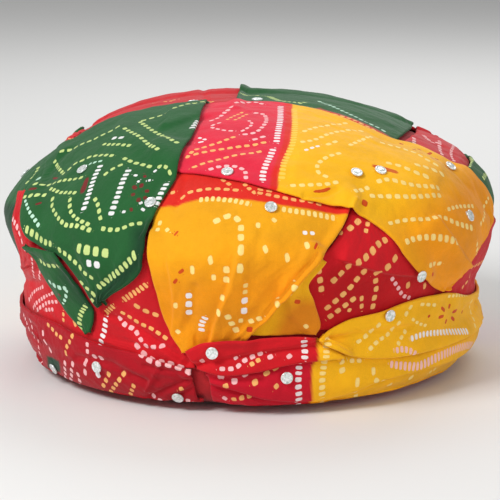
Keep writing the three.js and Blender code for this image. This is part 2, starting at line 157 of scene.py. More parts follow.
def outward(p):
    """Unit normals of the crown's face, from how fast its depth changes each way."""
    step = 0.3
    slopes = []
    for axis in range(3):
        shift = np.zeros(3)
        shift[axis] = step
        slopes.append(depth_in(p + shift) - depth_in(p - shift))
    return unit(np.stack(slopes, axis=-1))


def around(bearing, z):
    """Direction of a place at the back or a side: bearing 0 is the front and 90 the right."""
    turn = np.radians(bearing)
    x = np.sqrt(np.maximum(np.where(np.sin(turn) < 0, squared["left"](z), squared["right"](z)), 0))
    y = np.sqrt(np.maximum(np.where(np.cos(turn) > 0, squared["front"](z), squared["back"](z)), 0))
    p = np.stack([x * np.sin(turn), -y * np.cos(turn), z + 0 * x], axis=-1)
    return unit(p - CROWN_MIDDLE)


# %% [markdown]
# The front is measured as it is seen: x to the right and y up from the middle of the view, in millimetres.
# The camera stands where those measures were taken, so it comes first and the same numbers place both.

# %% The view, and its camera
VIEW_DISTANCE = 1300.0
VIEW_RISE = math.radians(12)
VIEW_MIDDLE = np.array([0.0, 0.0, 55.0])
VIEW_WIDTH = 262.5  # what the frame covers at the view's middle
PHOTO_SIZE = 500  # the folds, dyes and dots were read off the photograph, in its pixels
MM_PER_PIXEL = VIEW_WIDTH / PHOTO_SIZE
TOWARDS_EYE = np.array([0.0, -math.cos(VIEW_RISE), math.sin(VIEW_RISE)])
VIEW_UP = np.array([0.0, math.sin(VIEW_RISE), math.cos(VIEW_RISE)])
EYE = VIEW_MIDDLE + VIEW_DISTANCE * TOWARDS_EYE

camera_data = bpy.data.cameras.new("front_camera")
camera_data.sensor_width = 36
camera_data.lens = 36 * VIEW_DISTANCE / VIEW_WIDTH
camera = bpy.data.objects.new("front_camera", camera_data)
bpy.context.scene.collection.objects.link(camera)
camera.location = EYE * MM
camera.rotation_euler = Vector(-TOWARDS_EYE).to_track_quat("-Z", "Y").to_euler()
bpy.context.scene.camera = camera
print("view:", VIEW_WIDTH, "mm wide, from", VIEW_DISTANCE, "mm away")


def from_photo(pixels):
    """Photograph pixels, from its top left corner, as millimetres from the middle of the view."""
    return (np.array(pixels, float) - PHOTO_SIZE / 2) * (MM_PER_PIXEL, -MM_PER_PIXEL)


def in_view(p):
    """Where points show in the view: x and y from its middle."""
    rel = p - VIEW_MIDDLE
    scale = VIEW_DISTANCE / (VIEW_DISTANCE - rel @ TOWARDS_EYE)
    return rel[..., 0] * scale, (rel @ VIEW_UP) * scale


def seen(x, y):
    """Directions of the places that show at x, y; past the outline, of the outline's nearest place."""
    x, y = np.broadcast_arrays(np.array(x, float), np.array(y, float))
    aim = VIEW_MIDDLE + x[..., None] * np.array([1.0, 0, 0]) + y[..., None] * VIEW_UP
    ray = unit(aim - EYE)

    def cover(reach):
        p = EYE + ray * reach[..., None]
        away = np.linalg.norm(p - CROWN_MIDDLE, axis=-1, keepdims=True)
        return depth_in(CROWN_MIDDLE + (p - CROWN_MIDDLE) * (1 - CLOTH_OVER_CAP / away))

    reaches = np.arange(VIEW_DISTANCE - 160, VIEW_DISTANCE + 120, 2.0)
    depths = np.stack([cover(np.full(x.shape, reach)) for reach in reaches])
    struck = depths < 1
    hit = struck.any(axis=0)
    first = np.where(hit, struck.argmax(axis=0), depths.argmin(axis=0))
    far = reaches[first]
    near = np.where(hit, far - 2.0, far)
    for _ in range(12):
        middle = (near + far) / 2
        inside = cover(middle) < 1
        far = np.where(hit & inside, middle, far)
        near = np.where(hit & ~inside, middle, near)
    return unit(EYE + ray * far[..., None] - CROWN_MIDDLE)


# %% [markdown]
# Each wrap lies on whatever is under it. A coarse map of directions keeps how high the pile already is, and
# a new wrap reads the highest place near each of its points. That is quicker and steadier than a cloth
# simulation of twenty layers, and it keeps each wrap's face above the pile as the map has it.

# %% How high the layers lie
CELLS = 80  # per unit of direction: about 1.5 mm on the crown
NEAR_CELLS = 2  # how many cells round a place are looked at
pile = np.zeros((2 * CELLS + 3,) * 3, np.float32)


def cell_of(directions):
    return np.rint(directions * CELLS).astype(int) + CELLS + 1


def pile_up(directions, height):
    c = cell_of(directions.reshape(-1, 3))
    np.maximum.at(pile, (c[:, 0], c[:, 1], c[:, 2]), height.reshape(-1).astype(np.float32))


def pile_near(directions):
    c = cell_of(directions)
    span = range(-NEAR_CELLS, NEAR_CELLS + 1)
    highest = np.zeros(directions.shape[:-1], np.float32)
    for i in span:
        for j in span:
            for k in span:
                if i * i + j * j + k * k <= NEAR_CELLS * NEAR_CELLS:
                    at = np.clip(c + (i, j, k), 0, 2 * CELLS + 2)
                    highest = np.maximum(highest, pile[at[..., 0], at[..., 1], at[..., 2]])
    return highest


def blur(field, rounds=1):
    for _ in range(rounds):
        wide = np.pad(field, 1, mode="edge")
        across = (wide[1:-1, :-2] + 2 * wide[1:-1, 1:-1] + wide[1:-1, 2:]) / 4
        wide = np.pad(across, 1, mode="edge")
        field = (wide[:-2, 1:-1] + 2 * wide[1:-1, 1:-1] + wide[2:, 1:-1]) / 4
    return field


# %% [markdown]
# A wrap's table has a row for each section of its length, with its two edges and how much it puffs up
# between them. The edges are curves through those rows, and the cloth spans from one to the other.

# %% Weave a wrap's directions from its rows
IN_FRONT = "from_x from_y to_x to_y puff"
TO_THE_BACK = "from_x from_y to_bearing to_z puff"
FROM_THE_BACK = "from_bearing from_z to_x to_y puff"
BEHIND = "from_bearing from_z to_bearing to_z puff"


def curve(points):
    """Centripetal Catmull-Rom curve through the points, read from 0 to 1."""
    points = np.array(points, float)
    last = len(points) - 1
    before = 2 * points[0] - points[1]
    after = 2 * points[last] - points[last - 1]
    padded = np.vstack([before, points, after])
    gap = np.sqrt(np.maximum(np.linalg.norm(np.diff(padded, axis=0), axis=1), 1e-6))

    def read(s):
        at = np.clip(np.asarray(s, float), 0, 1) * last
        i = np.clip(np.floor(at).astype(int), 0, last - 1)
        t = (at - i)[..., None]
        p0, p1, p2, p3 = (padded[i + k] for k in range(4))
        g0, g1, g2 = (gap[i + k][..., None] for k in range(3))
        m1 = ((p1 - p0) / g0 - (p2 - p0) / (g0 + g1) + (p2 - p1) / g1) * g1
        m2 = ((p2 - p1) / g1 - (p3 - p1) / (g1 + g2) + (p3 - p2) / g2) * g1
        cubic = 2 * p1 - 2 * p2 + m1 + m2
        square = -3 * p1 + 3 * p2 - 2 * m1 - m2
        return p1 + m1 * t + square * t ** 2 + cubic * t ** 3

    return read


def edge_of(rows, end):
    spots = []
    for row in rows:
        if f"{end}_bearing" in row:
            spots.append(around(row[f"{end}_bearing"], row[f"{end}_z"]))
        else:
            spots.append(seen(row[f"{end}_x"], row[f"{end}_y"]))
    return curve(spots)


def above_rim_floor(directions):
    p = on_crown(directions)
    bearing = np.degrees(np.arctan2(p[..., 0], -p[..., 1]))
    return np.where(p[..., 2:] >= RIM_FLOOR, directions, around(bearing, np.full(bearing.shape, RIM_FLOOR)))


def weave(rows, step):
    """Directions over the wrap in near square steps, with s and t, and how much it puffs up there."""
    start = edge_of(rows, "from")
    stop = edge_of(rows, "to")
    s_fine = np.linspace(0, 1, 30 * len(rows))
    ends = [start(s_fine), stop(s_fine)]
    lines = [on_crown(unit(ends[0] * (1 - t) + ends[1] * t)) for t in (0, 0.5, 1)]
    walked = np.max([np.linalg.norm(np.diff(line, axis=0), axis=1) for line in lines], axis=0)
    walked = np.concatenate([[0], np.cumsum(walked)])
    width = np.linalg.norm(lines[2] - lines[0], axis=1).max() * 1.05
    long = max(int(walked[-1] / step), 6)
    wide = max(int(width / step), 6)
    s = np.interp(np.linspace(0, walked[-1], long + 1), walked, s_fine)
    t = np.linspace(0, 1, wide + 1)
    directions = start(s)[:, None] * (1 - t[None, :, None]) + stop(s)[:, None] * t[None, :, None]
    directions = above_rim_floor(unit(directions))
    puffs = through(range(len(rows)), [row["puff"] for row in rows])(s * (len(rows) - 1))
    puff = puffs[:, None] * (1 - np.abs(2 * t - 1) ** 2.5)[None]
    return directions, s, t, puff, walked[-1], width


# %% [markdown]
# Folds are lines drawn where they are seen. A crease is a narrow valley, a ridge a narrow hill, and a pleat
# rises sharply on one side and fades on the other. Behind them all the cloth has a fine crumple of its
# own, which is a sum of seeded waves, so it comes out the same in every run.

# %% Folds and crumple
FOLDS = by_cloth(
    "kind depth width pixels",
    left_green_drape=(
        ("crease", 0.8, 2.0, ((178, 173), (160, 185), (150, 200))),
        ("ridge", 0.8, 6, ((120, 134), (150, 150), (176, 163))),
        ("crease", 0.7, 4, ((106, 236), (114, 258), (108, 280))),
        ("ridge", 0.7, 5, ((86, 250), (98, 275), (101, 300))),
        ("crease", 0.5, 4, ((40, 215), (70, 240), (84, 262))),
    ),
    left_green_flap=(
        ("ridge", 0.6, 4, ((50, 262), (70, 290), (88, 320))),
    ),
    centre_drape=(
        ("pleat", 2.3, 9, ((238, 252), (228, 287), (216, 318), (209, 345))),
        ("pleat", 1.4, 7, ((168, 262), (172, 285), (174, 310), (171, 340))),
        ("pleat", 2.6, 9, ((316, 256), (291, 282), (272, 308), (250, 338))),
        ("crease", 0.8, 2.6, ((184, 330), (192, 312), (196, 285))),
        ("crease", 0.7, 3, ((262, 232), (252, 268), (248, 300))),
        ("crease", 0.9, 1.8, ((184, 177), (179, 197), (175, 208))),
    ),
    upper_drape=(
        ("crease", 1.2, 1.4, ((304, 197), (322, 196), (337, 191))),
        ("pleat", 2.0, 9, ((468, 266), (452, 245), (434, 222))),
        ("ridge", 0.9, 16, ((300, 150), (360, 158), (430, 185))),
        ("crease", 0.6, 2.6, ((182, 169), (215, 158), (255, 146))),
        ("ridge", 1.3, 1.3, ((349, 213), (354, 203))),
        ("crease", 0.7, 4, ((375, 214), (415, 232), (450, 262))),
    ),
    rim_right_upper=(
        ("crease", 1.2, 1.3, ((197, 366), (225, 359), (260, 354), (316, 346))),
        ("ridge", 0.6, 2.4, ((215, 362), (250, 351), (300, 342))),
    ),
    rim_right_middle=(
        ("crease", 1.3, 1.4, ((202, 377), (234, 380), (262, 380))),
        ("crease", 0.8, 1.6, ((220, 372), (250, 371), (285, 366))),
        ("ridge", 0.9, 3, ((392, 381), (430, 373), (470, 358))),
    ),
    rim_right_lower=(
        ("crease", 1.2, 1.4, ((206, 388), (232, 393), (262, 397))),
        ("crease", 0.6, 2.5, ((330, 400), (380, 394), (440, 378))),
    ),
    rim_right_leaf=(
        ("crease", 1.0, 1.6, ((322, 342), (345, 336), (380, 330), (410, 327))),
        ("ridge", 0.7, 4, ((360, 330), (400, 318), (440, 308))),
    ),
    rim_left_band=(
        ("crease", 1.6, 1.8, ((78, 358), (104, 361), (123, 370), (145, 382))),
        ("ridge", 1.2, 0.9, ((170, 343), (160, 366), (147, 390))),
        ("crease", 1.1, 1.3, ((198, 376), (176, 386), (150, 396))),
        ("crease", 1.0, 1.4, ((196, 372), (172, 371), (146, 366))),
        ("crease", 1.1, 1.3, ((174, 350), (183, 359), (199, 376))),
        ("crease", 0.9, 1.6, ((202, 382), (188, 392), (172, 400))),
        ("crease", 0.6, 2.5, ((30, 330), (44, 352), (62, 376))),
    ),
    left_red_drape=(
        ("crease", 1.2, 1.6, ((104, 312), (140, 331), (186, 364))),
        ("crease", 1.2, 1.6, ((147, 256), (160, 298), (180, 346))),
        ("ridge", 0.8, 3, ((110, 320), (140, 340), (180, 362))),
        ("crease", 0.8, 2, ((26, 280), (50, 284), (64, 292))),
    ),
    recess_panel=(
        ("pleat", 2.4, 8, ((345, 262), (368, 269), (393, 275), (421, 277))),
        ("ridge", 0.9, 0.8, ((346, 270), (334, 284))),
    ),
    top_left_wrap=(
        ("crease", 1.2, 2, ((204, 96), (213, 112))),
    ),
    top_back_wrap=(
        ("crease", 0.7, 2, ((300, 103), (345, 110), (398, 134))),
    ),
    right_back_red=(
        ("crease", 0.9, 2, ((418, 129), (434, 140), (455, 156))),
    ),
    right_side_red=(
        ("crease", 1.0, 1.6, ((472, 267), (475, 281))),
    ),
)


def along_path(pixels, steps_each=8):
    """The path as a smooth line of many points, in the view's millimetres."""
    return curve(from_photo(pixels))(np.linspace(0, 1, steps_each * (len(pixels) - 1) + 1))


def from_line(x, y, line):
    """Signed distance to the line (positive on its left as it is walked) and whether it ends short."""
    best = np.full(x.shape, 1e9)
    sign = np.ones(x.shape)
    past = np.zeros(x.shape)
    for (ax, ay), (bx, by) in zip(line[:-1], line[1:]):
        dx, dy = bx - ax, by - ay
        length = math.hypot(dx, dy) or 1e-6
        t = ((x - ax) * dx + (y - ay) * dy) / length ** 2
        inside = np.clip(t, 0, 1)
        ex, ey = x - ax - inside * dx, y - ay - inside * dy
        distance = np.hypot(ex, ey)
        closer = distance < best
        best = np.where(closer, distance, best)
        sign = np.where(closer, np.sign(dx * ey - dy * ex), sign)
        past = np.where(closer, np.abs(t - inside) * length, past)
    return best * sign, past


FOLD_STRENGTH = {"crease": 1.15, "ridge": 1.3, "pleat": 1.25}  # folds look a little flat without it
FOLD_END = 3.0  # how far a fold runs out beyond its line
PLEAT_LIP = 0.35  # how sharply a pleat rises
WAVES = table(
    "size height stretch",
    (26, 0.45, 3.0),
    (15, 0.28, 2.4),
    (8, 0.13, 1.6),
    (5, 0.06, 1.2),
)
WAVES_OF_A_SIZE = 3


def fold_relief(name, x, y):
    relief = np.zeros(x.shape)
    for fold in FOLDS.get(name, ()):
        away, past = from_line(x, y, along_path(fold["pixels"]))
        depth = fold["depth"] * FOLD_STRENGTH[fold["kind"]]
        end = np.exp(-(past / FOLD_END) ** 2)
        if fold["kind"] == "crease":
            relief -= depth * np.exp(-(away / fold["width"]) ** 2) * end
        elif fold["kind"] == "ridge":
            relief += depth * np.exp(-(away / fold["width"]) ** 2) * end
        else:
            rise = 1 / (1 + np.exp(-away / PLEAT_LIP))
            relief += depth * rise * np.exp(-np.maximum(away, 0) / fold["width"]) * end
    return relief


def crumple(name, along, across):
    """Long soft wrinkles that run with the cloth, and a finer crumple over them."""
    random = np.random.default_rng(sum(map(ord, name)))
    total = 0.0
    for wave in WAVES:
        size = wave["size"]
        for _ in range(WAVES_OF_A_SIZE):
            lean = random.uniform(-0.5, 0.5)
            phase = random.uniform(0, 2 * math.pi, 2)
            u = along / (size * wave["stretch"]) + lean * across / size
            v = across / size + 0.6 * np.sin(along / (2.3 * size) + phase[0])
            rise = wave["height"] / WAVES_OF_A_SIZE * np.sin(2 * math.pi * v + phase[1])
            total = total + rise * np.cos(2 * math.pi * u + phase[0])
    return total


# %% [markdown]
# The edge of a wrap is folded under, so its grid goes on past the edge: round a half circle and a little
# way back beneath. The rows beyond the edge repeat its last row, pushed outwards and down.

# %% Lay a wrap over the pile and make its mesh
LIP = table(
    "out down",
    (0, 0),
    (math.sin(0.25 * math.pi), 1 - math.cos(0.25 * math.pi)),
    (1, 1),
    (math.sin(0.75 * math.pi), 1 - math.cos(0.75 * math.pi)),
    (0, 2),
    (-3.5, 2.1),
)
LEVEL_LIP = 0.01  # the print's flat copy of a wrap lets its edges drop by only this share
FACING_LEAST = -0.05  # folds are laid where the cloth faces the eye more than this
CALM_EDGE = 6.0  # the crumple fades out this near an edge
SAG = 0.15  # how far smoothing may take a layer below its least height
LEAST_COVER = 0.5  # of the cloth's thickness left where a crease is deepest
laid = {}


def edge_outward(points, normals, axis, end):
    """Unit steps off the edge, square to the edge line and flat on the crown."""
    rim = np.take(points, end, axis=axis)
    line = unit(np.gradient(rim, axis=0))
    inner = np.take(points, (1 if end == 0 else -2), axis=axis)
    normal = np.take(normals, end, axis=axis)
    out = unit(np.cross(line, normal))
    flip = np.sign(np.sum(out * (rim - inner), axis=-1, keepdims=True))
    return out * np.where(flip == 0, 1, flip)


def with_lips(points, normals):
    """Adds the rows of LIP on all four sides of a grid of points."""
    lip = len(LIP) - 1
    rows, columns = points.shape[:2]
    i = np.arange(-lip, rows + lip)
    j = np.arange(-lip, columns + lip)
    ci = np.clip(i, 0, rows - 1)
    cj = np.clip(j, 0, columns - 1)
    beyond_i = np.abs(i - ci)
    beyond_j = np.abs(j - cj)
    out = np.array([step["out"] for step in LIP]) * FOLD_RADIUS
    down = np.array([step["down"] for step in LIP]) * FOLD_RADIUS
    base = points[ci][:, cj]
    normal = normals[ci][:, cj]
    ends = [edge_outward(points, normals, 0, 0), edge_outward(points, normals, 0, -1)]
    sides = [edge_outward(points, normals, 1, 0), edge_outward(points, normals, 1, -1)]
    step_i = np.where((i < 0)[:, None, None], ends[0][cj][None], ends[1][cj][None])
    step_j = np.where((j < 0)[None, :, None], sides[0][ci][:, None], sides[1][ci][:, None])
    moved = base + step_i * out[beyond_i][:, None, None] + step_j * out[beyond_j][None, :, None]
    drop = np.maximum(down[beyond_i][:, None], down[beyond_j][None, :])
    return moved - normal * drop[..., None], ci, cj


def grid_mesh(name, points):
    """A bmesh grid whose vertices are moved to the points."""
    rows, columns = points.shape[:2]
    bm = bmesh.new()
    bmesh.ops.create_grid(bm, x_segments=columns - 1, y_segments=rows - 1, size=1)
    mesh = bpy.data.meshes.new(name)
    bm.to_mesh(mesh)
    bm.free()
    flat = np.empty(len(mesh.vertices) * 3)
    mesh.vertices.foreach_get("co", flat)
    flat = flat.reshape(-1, 3)
    j = np.rint((flat[:, 0] + 1) / 2 * (columns - 1)).astype(int)
    i = np.rint((flat[:, 1] + 1) / 2 * (rows - 1)).astype(int)
    mesh.vertices.foreach_set("co", (points[i, j] * MM).ravel())
    mesh.update()
    return mesh, i, j


def make_object(name, mesh):
    thing = bpy.data.objects.new(name, mesh)
    bpy.context.scene.collection.objects.link(thing)
    return thing


def lay(name, rows):
    """Lays a wrap over the pile, folds its edges under, and returns its object."""
    directions, s, t, puff, length, width = weave(rows, FINE)
    base = on_crown(directions)
    normals = outward(base)
    x, y = in_view(base + normals * CLOTH_OVER_CAP)
    facing = normals @ TOWARDS_EYE > FACING_LEAST
    least = pile_near(directions) + AIR + CLOTH
    height = np.maximum(puff + AIR + CLOTH, least)
    for _ in range(5):
        height = np.maximum(blur(height), least - SAG)
    height = blur(height, 2)
    edge = np.minimum(t, 1 - t) * width
    near_edge = np.clip(edge / CALM_EDGE, 0, 1)[None, :]
    relief = crumple(name, s[:, None] * length, t[None, :] * width) * near_edge
    relief = relief + np.where(facing, fold_relief(name, x, y), 0)
    height = np.maximum(height + relief, least - CLOTH + LEAST_COVER)
    points, ci, cj = with_lips(base + normals * height[..., None], normals)
    mesh, i, j = grid_mesh(name, points)
    flat, _, _ = with_lips(base, normals * LEVEL_LIP)
    laid[name] = {
        "flat": flat[i, j], "view": np.column_stack([x[ci][:, cj][i, j], y[ci][:, cj][i, j]]),
        "facing": facing[ci][:, cj][i, j], "length": length, "width": width,
        "normal": normals[ci][:, cj][i, j], "directions": directions,
    }
    pile_up(directions, height)
    fine_directions = (directions[:-1, :-1] + directions[1:, 1:]) / 2
    pile_up(unit(fine_directions), np.minimum(height[:-1, :-1], height[1:, 1:]))
    thing = make_object(f"{name}_cloth", mesh)
    middle = mesh.polygons[len(mesh.polygons) // 2]
    if np.dot(np.array(middle.center) / MM - CROWN_MIDDLE, middle.normal) < 0:
        mesh.flip_normals()
    mesh.shade_smooth()
    return thing


# %% [markdown]
# The cloth is dyed in blocks, each tied off from the next, so the colour lives on the cloth's vertices as an
# attribute and the border between two dyes is a little soft. A block is an outline as it is seen. Some
# colours
# are painted light and shade, not dye: a lighter pink red where light falls on the top, darker orange low on
# the drapes and the pleat, a darker red below the recess's crease, and a darker red for the rim band at the
# bottom left.

# %% Dyes, and painted light and shade
def paint(red, green, blue):
    """A colour picked as it shows on a screen, from 0 to 255, turned into light."""
    return np.array([(v / 255) ** 2.2 for v in (red, green, blue)])


DYE_AND_PAINTED_SHADE = {
    "red": paint(205, 22, 34),
    # painted highlight: the upper drape's red block is dye, but this lighter, pinker red is light falling on
    # the top
    "pink_red": paint(228, 40, 66),
    # painted shadow: a darker red below the recess panel's crease
    "deep_red": paint(188, 12, 24),
    "scarlet": paint(222, 42, 30),
    "yellow": paint(253, 184, 22),
    # painted shade: darker orange low and to the right on the drapes, where less light falls
    "orange": paint(246, 152, 10),
    "green": paint(34, 90, 46),
    "dark_green": paint(20, 62, 36),
    "crimson": paint(200, 16, 42),
    # painted shade: a darker red for the rim band at the bottom left
    "rim_red_painted_shade": paint(172, 14, 32),
    "amber": paint(240, 164, 18),
    # painted shade: darker orange on the pleat's lower part
    "sheer": paint(224, 132, 20),
    "lining": paint(150, 18, 30),
}
BLOCKS = by_cloth(
    "dye soft pixels",
    upper_drape=(
        # painted shade: the drape's lower right goes darker orange, with a wide soft edge
        ("orange", 26, ((392, 235), (470, 150), (520, 150), (520, 310), (420, 310))),
        # a red dye block, painted lighter and pinker as highlight where light falls on the top
        ("pink_red", 1.0, (
            (150, 85), (292, 85), (292, 109), (292, 127), (290, 144), (284, 159), (278, 176), (277, 200),
            (150, 200),
        )),
        ("scarlet", 1.4, (
            (285, 85), (292, 85), (292, 109), (292, 127), (290, 144), (284, 159), (278, 176), (277, 200),
            (269, 200), (271, 176), (277, 159), (283, 144), (285, 127),
        )),
    ),
    centre_drape=(
        # painted shade: the drape's lower part goes darker orange, with a wide soft edge
        ("orange", 26, ((140, 275), (350, 245), (350, 360), (140, 360))),
        ("scarlet", 1.0, (
            (140, 150), (365, 150), (365, 219), (345, 214), (300, 207), (253, 200), (228, 198), (202, 199),
            (174, 205), (160, 206), (140, 207),
        )),
    ),
    centre_pleat=(
        # painted shade: the pleat's lower part goes darker orange
        ("sheer", 8, ((288, 306), (300, 298), (330, 300), (330, 345), (270, 345))),
    ),
    rim_right_upper=(
        ("yellow", 1.2, ((317, 320), (370, 320), (370, 378), (312, 378), (313, 364), (317, 360))),
    ),
    rim_right_middle=(
        ("crimson", 1.2, ((150, 330), (317, 330), (316, 360), (312, 366), (311, 420), (150, 420))),
    ),
    rim_right_lower=(
        ("crimson", 1.2, ((150, 330), (312, 330), (311, 366), (310, 425), (150, 425))),
    ),
    top_back_wrap=(
        ("scarlet", 1.0, (
            (200, 101), (247, 102), (278, 104), (297, 107), (320, 105), (341, 112), (357, 118), (377, 127),
            (395, 135), (403, 140), (420, 170), (300, 170), (200, 130),
        )),
    ),
    right_back_red=(
        ("dark_green", 1.5, ((402, 147), (408, 139), (417, 139), (416, 148), (408, 152))),
    ),
    recess_panel=(
        # painted shadow: the recess below its crease is a darker red
        ("deep_red", 3.0, (
            (295, 345), (300, 292), (345, 262), (368, 269), (393, 275), (419, 276), (455, 296), (455, 345),
        )),
    ),
    left_back_wrap=(
        ("dark_green", 4.0, ((-10, 203), (45, 203), (45, 295), (-10, 295))),
    ),
    rim_left_band=(
        ("dark_green", 1.0, ((46, 356), (59, 361), (60, 373), (48, 368))),
    ),
    left_green_drape=(
        ("dark_green", 7.0, (
            (135, 230), (150, 222), (150, 262), (100, 306), (90, 300), (104, 284), (132, 258),
        )),
    ),
    left_green_flap=(
        ("dark_green", 7.0, ((64, 249), (76, 269), (99, 304), (92, 306), (66, 274))),
    ),
)


def side_of(x, y, outline):
    """Signed distance to a closed outline, positive inside."""
    closed = np.vstack([outline, outline[:1]])
    away, _ = from_line(x, y, closed)
    inside = np.zeros(x.shape, bool)
    for (ax, ay), (bx, by) in zip(closed[:-1], closed[1:]):
        crosses = (ay > y) != (by > y)
        at = ax + (y - ay) * (bx - ax) / (by - ay + 1e-9)
        inside ^= crosses & (x < at)
    return np.where(inside, np.abs(away), -np.abs(away))


# the colours laid here are dye, and painted light and shade where a block or a wrap's colour is one
def dye_and_shade_cloth(thing, name, dye):
    info = laid[name]
    colours = np.tile(DYE_AND_PAINTED_SHADE[dye], (len(info["view"]), 1))
    x, y = info["view"].T
    for block in BLOCKS.get(name, ()):
        depth = side_of(x, y, from_photo(block["pixels"]))
        share = np.clip(depth / block["soft"] + 0.5, 0, 1) * info["facing"]
        colours += share[:, None] * (DYE_AND_PAINTED_SHADE[block["dye"]] - colours)
    layer = thing.data.attributes.new("dye", "FLOAT_COLOR", "POINT")
    layer.data.foreach_set("color", np.column_stack([colours, np.ones(len(colours))]).ravel())


# %% [markdown]
# The pattern is tied before the dye: each small knot keeps a dot of the cloth pale. The dots run in rows, so
# a row is a line on the cloth, and every face near it stores how far along and across the row it lies. The
# material then draws each dot sharp from those two numbers, however coarse the mesh is.

